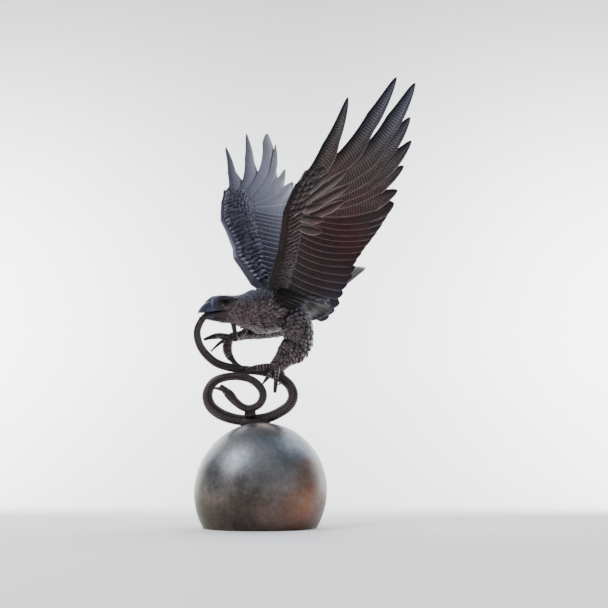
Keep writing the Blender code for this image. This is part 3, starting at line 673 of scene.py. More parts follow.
def buildTail():
    root = np.array(tail["root"])
    reach = np.array(tail["tip"]) - root
    length = np.linalg.norm(reach)
    aft = reach / length
    up = np.array([-aft[1], aft[0]])

    def place(along, across, out):
        back = root[0] + aft[0] * along + up[0] * out
        height = root[1] + aft[1] * along + up[1] * out
        return eaglePoints(back, across, height)

    def tones(along, across, upper, relief):
        # more bloom on the upper faces: painted sky sheen
        bloomAndSheen = tail["upperSkySheen" if upper else "underBloom"]
        return toneSet(tail["reliefShare"] * relief, bloomAndSheen, tail["warm"])

    bag = newBag()
    for i in range(tail["feathers"]):
        share = 2 * i / (tail["feathers"] - 1) - 1
        angle = tail["spread"] * share
        run = length * (1 - tail["shortening"] * abs(share))
        feather = (0.0, tail["rootHalf"] * share, run * math.cos(angle), run * math.sin(angle),
                   0.0, tail["width"], tail["point"])
        depth = tail["crown"] * (0.5 - abs(share))
        look = {**flight, **tail["look"], "tilt": tail["tilt"] * np.sign(share)}
        addFeather(bag, place, tones, feather, depth, look)
    showEagle(meshFrom(bag, "tailFan"), "tailFan")


buildTail()
print("tail ready")

trunk = (
    (-0.222, 0.405, 0.030, 0.026), (-0.205, 0.407, 0.043, 0.037), (-0.180, 0.408, 0.048, 0.044),
    (-0.150, 0.412, 0.051, 0.049), (-0.115, 0.417, 0.053, 0.053), (-0.070, 0.425, 0.060, 0.062),
    (-0.020, 0.438, 0.073, 0.080), (0.040, 0.447, 0.087, 0.095), (0.100, 0.459, 0.087, 0.100),
    (0.160, 0.474, 0.080, 0.096), (0.225, 0.487, 0.069, 0.084), (0.295, 0.507, 0.053, 0.066),
    (0.355, 0.534, 0.038, 0.052), (0.400, 0.561, 0.024, 0.040))
beak = (
    (-0.190, 0.000, 0.405, 0.028, 0.027), (-0.218, 0.000, 0.401, 0.023, 0.021),
    (-0.236, 0.000, 0.392, 0.017, 0.016), (-0.249, 0.000, 0.379, 0.0135, 0.0125),
    (-0.257, 0.000, 0.366, 0.0100, 0.0095), (-0.260, 0.000, 0.353, 0.0040, 0.0040))
chin = (
    (-0.150, 0.000, 0.379, 0.020, 0.034), (-0.190, 0.000, 0.371, 0.015, 0.026),
    (-0.218, 0.000, 0.365, 0.010, 0.017), (-0.236, 0.000, 0.362, 0.006, 0.008))
brow = (
    (-0.214, 0.022, 0.428, 0.007, 0.007), (-0.190, 0.039, 0.436, 0.010, 0.010),
    (-0.160, 0.047, 0.441, 0.008, 0.008), (-0.125, 0.050, 0.445, 0.004, 0.004))
# the painted shadow in the hollow over the eye: its place from the eye, shape and reach; the
# eyeball's dark tone is painted shade
eye = {"place": (-0.190, 0.034, 0.422), "radius": 0.0092, "tone": (0.04, 0.05, 0.0),
       "hollow": (0.016, 0.003), "shadowShape": (0.42, 0.6, 1.0), "shadowReach": (0.006, 0.013)}
gape = {"corner": (-0.162, 0.394), "front": (-0.240, 0.378, 0.364), "half": 0.060, "reach": 1.35}
# from the trunk to each wing: back and height, then along and back on the wing, with radii
muscle = {"inner": (0.150, 0.455, 0.045), "outer": (0.040, 0.150, 0.020), "rows": 14}
# the skin's tones: a plain amount, then gains on what faces the sky, the legs and the belly; the
# gains on what faces the sky are a painted sky sheen, and the belly's warmth on what faces down is
# a painted warm reflection from below
skin = {"bodySpan": (-0.090, 0.400), "bodyVoxel": 0.0034, "bodyTone": 0.14,
        "headSpan": (-0.221, -0.060), "headVoxel": 0.0019, "headTone": (0.34, 0.26),
        "softSteps": 3, "softFactor": 0.5, "sky": (0.0, 0.9), "legs": (0.16, 0.36),
        "belly": (0.30, 0.36), "bloomAndSheen": (0.14, 0.52, -0.5), "warm": (0.24, -0.30, 0.40, 0.35),
        "beakBack": (-0.212, -0.200), "beakHeight": (0.30, 0.34), "beakBloom": 0.85}
nearLeg = (
    (0.125, 0.045, 0.469, 0.060, 0.045), (0.146, 0.074, 0.431, 0.068, 0.050),
    (0.156, 0.082, 0.390, 0.070, 0.052), (0.164, 0.082, 0.341, 0.068, 0.048),
    (0.154, 0.076, 0.304, 0.064, 0.040), (0.120, 0.066, 0.268, 0.048, 0.031),
    (0.094, 0.056, 0.235, 0.036, 0.025), (0.069, 0.046, 0.207, 0.026, 0.022))
farLeg = (
    (0.235, -0.050, 0.454, 0.050, 0.045), (0.215, -0.068, 0.429, 0.044, 0.040),
    (0.166, -0.078, 0.403, 0.034, 0.032), (0.091, -0.080, 0.377, 0.027, 0.025),
    (0.026, -0.078, 0.357, 0.021, 0.020), (-0.046, -0.070, 0.333, 0.018, 0.018),
    (-0.066, -0.068, 0.325, 0.012, 0.012))
nearToes = (
    ((0.040, 0.002, 0.213, 0.015), (0.004, -0.018, 0.208, 0.014),
     (-0.034, -0.030, 0.202, 0.011), (-0.066, -0.038, 0.190, 0.005)),
    ((0.040, -0.006, 0.211, 0.014), (0.028, -0.030, 0.179, 0.010),
     (0.012, -0.040, 0.155, 0.007), (0.000, -0.040, 0.138, 0.003)),
    ((0.048, -0.004, 0.211, 0.014), (0.052, -0.030, 0.181, 0.010),
     (0.049, -0.034, 0.137, 0.009), (0.047, -0.034, 0.107, 0.007)),
    ((0.050, 0.006, 0.211, 0.014), (0.072, 0.034, 0.191, 0.011),
     (0.072, 0.036, 0.167, 0.008), (0.056, 0.030, 0.147, 0.003)))
farToes = (
    ((-0.134, -0.004, 0.327, 0.014), (-0.165, -0.050, 0.323, 0.012),
     (-0.189, -0.090, 0.309, 0.010), (-0.214, -0.122, 0.291, 0.005)),
    ((-0.134, -0.004, 0.323, 0.012), (-0.160, -0.048, 0.299, 0.007),
     (-0.178, -0.072, 0.274, 0.005), (-0.192, -0.088, 0.253, 0.003)),
    ((-0.136, -0.002, 0.323, 0.017), (-0.140, -0.018, 0.286, 0.018),
     (-0.130, -0.036, 0.251, 0.015), (-0.104, -0.050, 0.219, 0.009),
     (-0.080, -0.048, 0.205, 0.004)),
    ((-0.110, 0.012, 0.335, 0.014), (-0.078, 0.022, 0.361, 0.012),
     (-0.080, 0.006, 0.376, 0.008), (-0.092, -0.016, 0.363, 0.004)))
toeLook = {"scute": 0.0115, "swell": 0.20, "claw": (0.60, 0.70), "clawThin": 0.06, "tip": 0.4}

trunkCurve = smoothRow(trunk, 10)


def trunkAt(back):
    # the trunk's middle height, half height and half width
    return (np.interp(back, trunkCurve[:, 0], trunkCurve[:, k]) for k in (1, 2, 3))


def trunkRings(first, last, rows, around, grow=0.0):
    back = np.linspace(first, last, rows)
    middle, high, wide = trunkAt(back)
    a = angles(around)
    return eaglePoints(back[:, None], (wide + grow)[:, None] * np.sin(a),
                       middle[:, None] + (high + grow)[:, None] * np.cos(a))


def limbRings(stations, around, steps, mirror=1):
    path = smoothRow(stations, steps)
    centres = path[:, :3] * np.array([1, mirror, 1])
    ahead = unit(np.gradient(centres, axis=0))
    side = unit(np.array([0.0, 1.0, 0.0]) - ahead * ahead[:, 1:2])
    front = np.cross(ahead, side)
    a = angles(around)
    ring = (centres[:, None] + side[:, None] * (path[:, 4, None] * np.cos(a))[..., None]
            + front[:, None] * (path[:, 3, None] * np.sin(a))[..., None])
    return eaglePoints(ring[..., 0], ring[..., 1], ring[..., 2])


def tubeFrame(path, towards=(0.0, -1.0, 0.0)):
    # ways ahead, towards a fixed direction and across, along a path of centres
    ahead = unit(np.gradient(path[:, :3], axis=0))
    aim = np.array(towards)
    first = unit(aim - ahead * (ahead @ aim)[:, None])
    return ahead, first, np.cross(ahead, first)


def roundTube(path, around, towards=(0.0, -1.0, 0.0)):
    # rings of a round bar along a path of centres and radii
    ahead, first, second = tubeFrame(path, towards)
    a = angles(around)[:, None]
    return path[:, None, :3] + path[:, 3, None, None] * (
        first[:, None] * np.cos(a) + second[:, None] * np.sin(a))


def fused(shapes, voxel, name):
    # one skin over overlapping shapes
    bag = newBag()
    for rings in shapes:
        addTube(bag, rings, (0.3, 0.3, 0.3))
    mesh = meshFrom(bag, name)
    holder = bpy.data.objects.new(name, mesh)
    bpy.context.scene.collection.objects.link(holder)
    shell = holder.modifiers.new("skin", "REMESH")
    shell.mode = "VOXEL"
    shell.voxel_size = voxel
    soft = holder.modifiers.new("soft", "SMOOTH")
    soft.iterations = skin["softSteps"]
    soft.factor = skin["softFactor"]
    return holder


def settle(holder, name):
    # the shape that a holder's modifiers make, without the holder
    graph = bpy.context.evaluated_depsgraph_get()
    mesh = bpy.data.meshes.new_from_object(holder.evaluated_get(graph))
    mesh.name = name
    bpy.data.objects.remove(holder)
    for layer in [a.name for a in mesh.attributes if a.name in ("relief", "bloomAndSheen", "warmth")]:
        mesh.attributes.remove(mesh.attributes[layer])
    return mesh


def pointsAndNormals(mesh):
    both = []
    for word in ("co", "normal"):
        flat = np.empty(len(mesh.vertices) * 3)
        mesh.vertices.foreach_get(word, flat)
        both.append(flat.reshape(-1, 3))
    return both


def birdPlace(points):
    # world points back to the eagle's own back, left and height
    x = points[:, 0] - shoulderX
    y = points[:, 1] - shoulderY
    return np.stack([x * turnCos + y * turnSin, x * turnSin - y * turnCos,
                     points[:, 2] - ballTop], -1)


def bodyTones(points, normals, relief):
    # painted sky sheen as bloom on what faces the sky, brown flanks, warm legs, and a warm belly
    # with a painted warm reflection from below on what faces down
    place = birdPlace(points)
    sky = ease(normals[:, 2], *skin["sky"])
    low = 1 - ease(place[:, 2], *skin["legs"])
    belly = ease(-normals[:, 2], 0.2, 0.9) * ease(place[:, 2], *skin["belly"])
    plain, skyGain, lowGain, bellyGain = skin["warm"]
    warm = np.clip(plain + lowGain * low + bellyGain * belly + skyGain * sky, 0, 1)
    plain, skyGain, lowGain = skin["bloomAndSheen"]
    bloomAndSheen = (plain + skyGain * sky) * (1 + lowGain * low)
    # the beak is bare
    bare = (1 - ease(place[:, 0], *skin["beakBack"])) * ease(place[:, 2], *skin["beakHeight"])
    bloomAndSheen = np.maximum(bloomAndSheen, skin["beakBloom"] * bare)
    return toneSet(relief, bloomAndSheen, warm * (1 - bare))


def buildBody():
    shapes = [trunkRings(*skin["bodySpan"], 90, 40),
              limbRings(nearLeg, 28, 8), limbRings(farLeg, 24, 8)]
    back, height, thick = muscle["inner"]
    along, behind, thin = muscle["outer"]
    for one in (nearWing, farWing):
        inner = eaglePoints(one["ahead"] + back, 0.0, height)
        outer = wingPoints(one, np.array(along), np.array(behind), np.array(0.0))
        path = np.linspace(np.append(inner, thick), np.append(outer, thin), muscle["rows"])
        shapes.append(roundTube(path, 20))
    mesh = settle(fused(shapes, skin["bodyVoxel"], "eagleBody"), "eagleBody")
    # the skin is dark, so that the gaps between the feathers show as painted shade
    paintTones(mesh, bodyTones(*pointsAndNormals(mesh), skin["bodyTone"]))
    return mesh


def buildHead():
    shapes = [trunkRings(*skin["headSpan"], 60, 40, -0.0005), limbRings(beak, 28, 8),
              limbRings(chin, 24, 8), limbRings(brow, 16, 8, 1), limbRings(brow, 16, 8, -1)]
    holder = fused(shapes, skin["headVoxel"], "eagleHead")
    cornerBack, cornerHeight = gape["corner"]
    front, upper, lower = gape["front"]
    # a wedge cuts the mouth open
    reach = gape["reach"]
    frontBack = cornerBack + (front - cornerBack) * reach
    spots = [(cornerBack, cornerHeight)] + [
        (frontBack, cornerHeight + (height - cornerHeight) * reach) for height in (upper, lower)]
    rings = np.array([[eaglePoints(back, side * gape["half"], height) for back, height in spots]
                      for side in (-1, 1)])
    wedge = newBag()
    addTube(wedge, rings, (0, 0, 0))
    cutter = bpy.data.objects.new("gapeWedge", meshFrom(wedge, "gapeWedge"))
    bpy.context.scene.collection.objects.link(cutter)
    opening = holder.modifiers.new("opening", "BOOLEAN")
    opening.operation = "DIFFERENCE"
    opening.solver = "EXACT"
    opening.object = cutter
    mesh = settle(holder, "eagleHead")
    bpy.data.objects.remove(cutter)
    points, normals = pointsAndNormals(mesh)
    place = birdPlace(points)
    # what faces up on the head is lighter: painted sky light
    tone, skyTone = skin["headTone"]
    tones = bodyTones(points, normals, tone + skyTone * ease(normals[:, 2], 0.2, 0.9))
    # painted shade inside the open mouth
    slope = (place[:, 0] - cornerBack) / (front - cornerBack)
    roof = cornerHeight + (upper - cornerHeight) * slope
    floorLine = cornerHeight + (lower - cornerHeight) * slope
    inside = (slope > 0) & (place[:, 2] < roof + 0.0006) & (place[:, 2] > floorLine - 0.0006)
    tones[inside] = (0.0, 0.0, 0.1)
    # painted shadow in the hollow under each brow
    (back, left, height), (behind, above) = eye["place"], eye["hollow"]
    for side in (1, -1):
        apart = place - np.array([back + behind, side * left, height + above])
        gap = np.linalg.norm(apart * np.array(eye["shadowShape"]), axis=1)
        shade = 1 - ease(gap, *eye["shadowReach"])
        tones[:, 0] *= 1 - 0.95 * shade
        tones[:, 1] *= 1 - 0.9 * shade
    paintTones(mesh, tones)
    return mesh


def ballRings(polar, around, radius):
    a = angles(around)
    return np.stack([np.sin(polar)[:, None] * np.cos(a), np.sin(polar)[:, None] * np.sin(a),
                     np.cos(polar)[:, None] + 0 * a], -1) * radius


def addBall(bag, centre, radius, tone, rings=14, around=20):
    addTube(bag, ballRings(np.linspace(0.02, 0.98, rings) * np.pi, around, radius) + centre, tone)


def addToes(bag, toes, darkness):
    for toe in toes:
        path = smoothRow(toe, 16)
        path[:, 2] += ballTop
        run = runAlong(path[:, :3])
        clawed = ease(run / run[-1], *toeLook["claw"])
        scute = 1 - (run / toeLook["scute"]) % 1
        swell = 1 + toeLook["swell"] * (scute - 0.5) * (1 - clawed)
        path[:, 3] = path[:, 3] * swell * (1 - toeLook["clawThin"] * clawed)
        path[-1, 3] *= toeLook["tip"]
        relief = (0.12 + 0.75 * scute * (1 - clawed) + 0.20 * clawed) * (1 - 0.5 * darkness)
        addTube(bag, roundTube(path, 18, (0.1, -0.3, 1.0)),
                toneSet(relief, 0.18, 0.5 * (1 - clawed))[:, None])


plumage = {
    "trunk": {"span": (-0.084, 0.395), "pitch": (0.0120, 0.0075), "size": (0.0126, 0.0080),
              "grow": (-0.16, 0.05), "cut": (0.32, 0.35)},
    "neck": {"span": (-0.204, -0.062), "pitch": 0.0108, "size": 0.0114, "cut": (0.26, 0.35)},
    # legs: first and last run, pitch, then size, lift, taper and reach
    "legs": ((nearLeg, 0.01, 0.225, 0.0170, 0.0190, 0.20, 0.15, 1.15),
             (nearLeg, 0.225, 0.320, 0.0110, 0.0112, 0.16, 0.10, 1.20),
             (farLeg, 0.0, 0.150, 0.0130, 0.0130, 0.22, 0.22, 1.40),
             (farLeg, 0.150, 0.330, 0.0095, 0.0098, 0.16, 0.10, 1.20)),
    "tone": (0.42, 0.14), "skinGap": 0.006, "stray": 0.16, "lap": 0.78,
    # bare places: under the flank's feathers, and the face with its eyes
    "flankBack": 0.10, "flankOut": 0.03, "flankHeight": (0.485, 0.03),
    "face": (-0.164, 0.398), "eyeShape": (0.55, 1, 1), "eyeReach": 0.017,
}


def skinSpots(tree, points, headings, reach):
    # where chosen points meet the skin below them, with the skin's facing there
    found = [tree.find_nearest(Vector(point)) for point in points]
    kept = [i for i, (spot, normal, face, gap) in enumerate(found) if gap < reach]
    roots, normals = (np.array([found[i][k] for i in kept]) for k in (0, 1))
    return roots, normals, headings[kept], kept


def rowsForward(first, last, pitch):
    # lapped rows from the rear forward: place, step and the shift of every other row
    spot = last
    row = 0
    while spot > first:
        step = pitch(spot)
        yield spot, step, 0.5 * (row % 2)
        spot -= step * plumage["lap"]
        row += 1


def trunkSpots(first, last, pitch):
    spots = []
    for back, step, shift in rowsForward(first, last, pitch):
        middle, high, wide = trunkAt(back)
        count = max(8, int(np.pi * (high + wide) / step))
        for k in range(count):
            a = (k + shift + rng.normal(0, 0.12)) * 2 * math.pi / count
            spots.append(eaglePoints(back + rng.normal(0, 0.08) * step, wide * math.sin(a),
                                     middle + high * math.cos(a)))
    return np.array(spots), np.tile((turnCos, turnSin, 0.12), (len(spots), 1))


def limbSpots(stations, first, last, pitch):
    path = smoothRow(stations, 10)
    centres = eaglePoints(path[:, 0], path[:, 1], path[:, 2])
    around = 72
    ringed = limbRings(stations, around, 10)
    run = runAlong(centres)
    ahead = unit(np.gradient(centres, axis=0))
    spots = []
    ways = []
    for reach, step, shift in rowsForward(first, last, lambda reach: pitch):
        i = min(int(np.searchsorted(run, reach)), len(run) - 1)
        count = max(6, int(np.linalg.norm(np.diff(ringed[i], axis=0), axis=1).sum() / step))
        for k in range(count):
            turn = (k + shift + rng.normal(0, 0.10)) / count
            spots.append(ringed[i][int(turn * around) % around])
            ways.append(ahead[i])
    return np.array(spots), np.array(ways)


def treeOf(mesh):
    return BVHTree.FromPolygons([v.co for v in mesh.vertices],
                                [p.vertices[:] for p in mesh.polygons])


def clothe(bag, tree, spots, ways, size, lift, taper, reach=1.55):
    roots, normals, ways, kept = skinSpots(tree, spots, ways, plumage["skinGap"])
    size = np.broadcast_to(size, len(spots))[kept] * (0.85 + 0.35 * rng.random(len(roots)))
    ways = ways + rng.normal(0, plumage["stray"], ways.shape)
    tone, spread = plumage["tone"]
    tones = bodyTones(roots, normals, tone + spread * (rng.random(len(roots)) - 0.5))
    addLeaves(bag, roots - normals * 0.0008, normals, ways, reach * size, 1.12 * size,
              lift * size, tones, 10, taper)


# long feathers over the flank: root height and back, tip height and back, bow, width, point
flank = {
    "feathers": (
        (0.532, 0.080, 0.506, 0.385, 0.020, 0.046, 0.84),
        (0.520, 0.062, 0.490, 0.366, 0.022, 0.046, 0.84),
        (0.507, 0.055, 0.476, 0.345, 0.022, 0.046, 0.84),
        (0.492, 0.052, 0.463, 0.320, 0.020, 0.044, 0.84),
        (0.475, 0.060, 0.451, 0.292, 0.016, 0.042, 0.84),
        (0.458, 0.080, 0.441, 0.262, 0.012, 0.040, 0.84),
        (0.515, 0.040, 0.500, 0.200, 0.010, 0.040, 0.80),
        (0.500, 0.032, 0.480, 0.180, 0.010, 0.040, 0.80),
        (0.483, 0.030, 0.463, 0.165, 0.010, 0.038, 0.80),
        (0.466, 0.034, 0.450, 0.150, 0.008, 0.036, 0.80)),
    "long": 6, "longDepth": 0.0055, "shortDepth": 0.0115, "half": 0.056, "blend": 0.010,
    # the far side's feathers carry more bloom than the near side's: painted light on the far side
    # and painted shade on the near side; their low tone share darkens them all as painted shade
    "reliefShare": 0.34, "nearShadedBloom": 0.08, "farLitBloom": 0.30, "warm": 0.35,
    "look": {"rootBack": 0.0, "tilt": 0.0075, "middle": 0.0034, "shaft": 0.0022,
             "shaftWidth": 0.0035, "rowPitch": 0.0032, "barbPitch": 0.0130, "barb": 0.0030,
             "ground": 0.02, "barbTone": 0.40, "shaftTone": 0.40},
}


def buildFlank():
    bag = newBag()
    look = {**flight, **flank["look"]}
    for side in (1, -1):
        def place(height, back, out):
            middle, high, wide = trunkAt(back)
            share = np.clip((height - middle) / high, -0.98, 0.98)
            half = wide * np.sqrt(1 - share ** 2)
            # past the trunk's end they lie in the plane of the wing's root
            blend = flank["blend"]
            half = np.log(np.exp(half / blend) + math.exp(flank["half"] / blend)) * blend
            return eaglePoints(back, side * (half + out), height)

        def tones(height, back, outer, relief):
            # more bloom on the far side: painted light
            bloomAndSheen = flank["nearShadedBloom" if side > 0 else "farLitBloom"]
            return toneSet(flank["reliefShare"] * relief, bloomAndSheen, flank["warm"])

        for i, feather in enumerate(flank["feathers"]):
            depth = flank["longDepth" if i < flank["long"] else "shortDepth"]
            addFeather(bag, place, tones, feather, depth, look)
    showEagle(meshFrom(bag, "flankFeathers"), "flankFeathers")


def buildPlumage(bodyTree, headTree):
    # the rear rows come first, with smaller feathers towards the head
    bag = newBag()
    cloth = plumage["trunk"]
    (pitch, pitchGain), (size, sizeGain) = cloth["pitch"], cloth["size"]
    spots, ways = trunkSpots(*cloth["span"],
                             lambda back: pitch + pitchGain * float(ease(back, *cloth["grow"])))
    place = birdPlace(spots)
    height, reach = plumage["flankHeight"]
    bare = ((place[:, 0] > plumage["flankBack"]) & (np.abs(place[:, 1]) > plumage["flankOut"])
            & (np.abs(place[:, 2] - height) < reach))
    spots = spots[~bare]
    sizes = size + sizeGain * ease(birdPlace(spots)[:, 0], *cloth["grow"])
    clothe(bag, bodyTree, spots, ways[~bare], sizes, *cloth["cut"])
    cloth = plumage["neck"]
    spots, ways = trunkSpots(*cloth["span"], lambda back: cloth["pitch"])
    place = birdPlace(spots)
    clear = (place[:, 0] >= plumage["face"][0]) | (place[:, 2] >= plumage["face"][1])
    for side in (1, -1):
        apart = (place - np.array(eye["place"]) * (1, side, 1)) * plumage["eyeShape"]
        clear &= np.linalg.norm(apart, axis=1) > plumage["eyeReach"]
    clothe(bag, headTree, spots[clear], ways[clear], cloth["size"], *cloth["cut"])
    for limb, first, last, pitch, *cloth in plumage["legs"]:
        clothe(bag, bodyTree, *limbSpots(limb, first, last, pitch), *cloth)
    return bag


def buildEagle():
    body = buildBody()
    head = buildHead()
    feathers = buildPlumage(treeOf(body), treeOf(head))
    showEagle(body, "eagleBody")
    showEagle(meshFrom(feathers, "bodyPlumage"), "bodyPlumage")
    showEagle(head, "eagleHead", 40.0)
    feet = newBag()
    addToes(feet, nearToes, 0.1)
    addToes(feet, farToes, 0.2)
    back, left, height = eye["place"]
    for side in (1, -1):
        addBall(feet, eaglePoints(back, side * left, height), eye["radius"], eye["tone"])
    showEagle(meshFrom(feet, "eagleFeet"), "eagleFeet")


buildEagle()
buildFlank()
print("eagle ready")

snake = {
    "around": 64, "steps": 30, "turns": 7, "scalePitch": 0.0105, "scaleDepth": 0.0015,
    "grooves": (18, 198), "grooveDepth": 0.0022, "grooveWidth": 0.17,
    "path": (
        (-0.108, -0.020, 0.309, 0.0050), (-0.110, -0.052, 0.344, 0.0090),
        (-0.118, -0.080, 0.374, 0.0105), (-0.146, -0.112, 0.387, 0.0110),
        (-0.178, -0.147, 0.383, 0.0110), (-0.208, -0.177, 0.361, 0.0116),
        (-0.231, -0.172, 0.314, 0.0131), (-0.227, -0.140, 0.270, 0.0140),
        (-0.201, -0.100, 0.234, 0.0150), (-0.161, -0.055, 0.211, 0.0156),
        (-0.088, -0.012, 0.201, 0.0162), (-0.008, 0.004, 0.196, 0.0172),
        (0.052, 0.010, 0.179, 0.0184), (0.096, 0.010, 0.149, 0.0192),
        (0.114, 0.005, 0.113, 0.0196), (0.109, 0.002, 0.079, 0.0196),
        (0.082, 0.000, 0.050, 0.0196), (0.021, 0.000, 0.020, 0.0196),
        (-0.058, 0.000, 0.010, 0.0198), (-0.112, -0.002, 0.016, 0.0202),
        (-0.161, -0.005, 0.034, 0.0212), (-0.196, -0.010, 0.063, 0.0206),
        (-0.208, -0.016, 0.103, 0.0196), (-0.191, -0.022, 0.144, 0.0176),
        (-0.155, -0.028, 0.164, 0.0158), (-0.102, -0.032, 0.170, 0.0148),
        (-0.049, -0.032, 0.160, 0.0148), (-0.012, -0.030, 0.133, 0.0151),
        (0.003, -0.030, 0.099, 0.0152), (-0.010, -0.030, 0.066, 0.0146),
        (-0.042, -0.032, 0.050, 0.0138), (-0.071, -0.036, 0.054, 0.0138),
        (-0.098, -0.042, 0.073, 0.0150), (-0.120, -0.048, 0.097, 0.0178),
        (-0.138, -0.050, 0.115, 0.0130), (-0.156, -0.050, 0.131, 0.0080)),
    # run before the snout: the scales end, the head flattens and by how much
    "bare": (0.055, 0.075), "flatten": (0.045, 0.075), "flat": 0.22,
    # the sky tone and the bloom's sky gain are painted light on the coils' upper sides
    "groundTone": 0.10, "scaleTone": 0.48, "grooveTone": -0.28, "headTone": 0.16, "skyTone": 0.16,
    "bloomAndSheen": (0.12, 0.55), "warm": 0.30,
    # an eye: back from the snout, out, across and radius
    "eye": (0.034, 0.0085, 0.0095, 0.0034),
    # the jaw from the snout: ahead, out, across and radius
    "jaw": ((-0.018, 0.004, -0.006, 0.0070), (0.0, 0.006, -0.014, 0.0055),
            (0.012, 0.006, -0.024, 0.0028)),
    # blocks of bronze: centre and half sizes
    "saddle": ((-0.028, 0.000, 0.000), (0.058, 0.026, 0.020)),
    "lug": ((-0.045, -0.018, 0.033), (0.022, 0.014, 0.016)),
}
ball = {
    "radius": 0.2399, "seat": 0.130, "around": 144, "rows": 90,
    "brown": ((0.30, (0.030, 0.022, 0.018)), (0.50, (0.085, 0.066, 0.058)),
              (0.68, (0.170, 0.110, 0.095))),
    # the blue-grey above is a painted sky reflection
    "grey": ((0.30, (0.095, 0.100, 0.115)), (0.50, (0.190, 0.215, 0.240)),
             (0.70, (0.250, 0.235, 0.240))),
    # patches: centre, radius and colour
    "patches": (((0.165, -0.160, 0.085), 0.130, (0.290, 0.120, 0.060)),
                ((0.010, -0.080, 0.345), 0.085, (0.210, 0.130, 0.090)),
                ((-0.200, -0.100, 0.090), 0.130, (0.080, 0.078, 0.035)),
                ((0.220, 0.020, 0.120), 0.130, (0.090, 0.075, 0.035))),
    "rough": (0.33, 0.52), "metallic": 0.85, "bump": 0.25, "bumpDepth": 0.0010,
    "cloud": 6.5, "speck": 90.0, "scratch": 30.0, "skyReflectionFrom": (0.10, 0.26), "speckShare": 0.40,
}


def buildSnake():
    path = smoothRow(snake["path"], snake["steps"])
    path[:, 2] += ballTop
    centres = path[:, :3]
    ahead, first, second = tubeFrame(path)
    a = angles(snake["around"])
    run = runAlong(centres)
    left = run[-1] - run
    body = ease(left, *snake["bare"])[:, None]
    # diamond scales: two sets of crossing ridges
    rows = run[:, None] / snake["scalePitch"]
    turn = snake["turns"] * a / (2 * np.pi)
    scales = np.sqrt(np.abs(np.sin(np.pi * (rows + turn)) * np.sin(np.pi * (rows - turn))))
    groove = 0
    for angle in np.radians(snake["grooves"]):
        off = np.abs((a - angle + np.pi) % (2 * np.pi) - np.pi)
        groove = groove + hump(off, 0.0, snake["grooveWidth"])
    radius = path[:, 3, None] + (snake["scaleDepth"] * (scales - 0.6)
                                 - snake["grooveDepth"] * groove) * body
    # the head is flattened, wide at the jaws and blunt at the snout
    flat = 1 - snake["flat"] * (1 - ease(left, *snake["flatten"]))
    ring = centres[:, None] + radius[..., None] * (
        first[:, None] * (np.cos(a) * flat[:, None])[..., None]
        + second[:, None] * np.sin(a)[None, :, None])
    facingSky = first[:, None, 2] * np.cos(a) + second[:, None, 2] * np.sin(a)
    # the coils are lighter and carry more sheen where they face up: painted sky light
    relief = (snake["groundTone"] + snake["scaleTone"] * scales * body
              + snake["grooveTone"] * groove * body + snake["headTone"] * (1 - body)
              + snake["skyTone"] * ease(facingSky, 0.3, 0.95) * body)
    plain, skyGain = snake["bloomAndSheen"]
    bloomAndSheen = plain + skyGain * ease(facingSky, 0.1, 0.95)
    bag = newBag()
    addTube(bag, ring, toneSet(relief, bloomAndSheen, snake["warm"]))
    # eyes and the open jaw with its tongue
    end, way, out, wide = centres[-1], ahead[-1], first[-1], second[-1]
    back, up, across, size = snake["eye"]
    headSpot = centres[np.searchsorted(-left, -back)]
    for side in (1, -1):
        spot = headSpot + out * up + wide * side * across
        addBall(bag, spot, size, (0.75, 0.3, 0.2), 8, 10)
    jaw = smoothRow([[*(end + way * along + out * up + wide * across), radius]
                     for along, up, across, radius in snake["jaw"]], 8)
    addTube(bag, roundTube(jaw, 14), (0.35, 0.25, 0.35))
    for centre, half in (snake["saddle"], snake["lug"]):
        addPad(bag, centre, half)
    showPiece(meshFrom(bag, "snakeCoil"), "snakeCoil", "snake", snakeBronze, 60.0)


def addPad(bag, centre, half):
    # a rounded block under or inside the coil, with nothing of it in the ball
    x = np.linspace(-1, 1, 24)[:, None]
    swell = (1 - np.abs(x) ** 3.2) ** (1 / 3.2) * 0.92 + 0.05
    a = angles(32)
    square = (np.abs(np.cos(a)) ** 3 + np.abs(np.sin(a)) ** 3) ** (-1 / 3)
    pad = np.stack([centre[0] + half[0] * x + 0 * a,
                    centre[1] + half[1] * swell * np.sin(a) * square,
                    ballTop + centre[2] + half[2] * swell * np.cos(a) * square], -1)
    ballCentre = np.array([0, 0, ball["seat"]])
    far = np.linalg.norm(pad - ballCentre, axis=-1, keepdims=True)
    pad = ballCentre + (pad - ballCentre) * np.maximum(far, ball["radius"] + 0.0005) / far
    addTube(bag, pad, (0.24, 0.15, 0.30))


buildSnake()
print("snake ready")


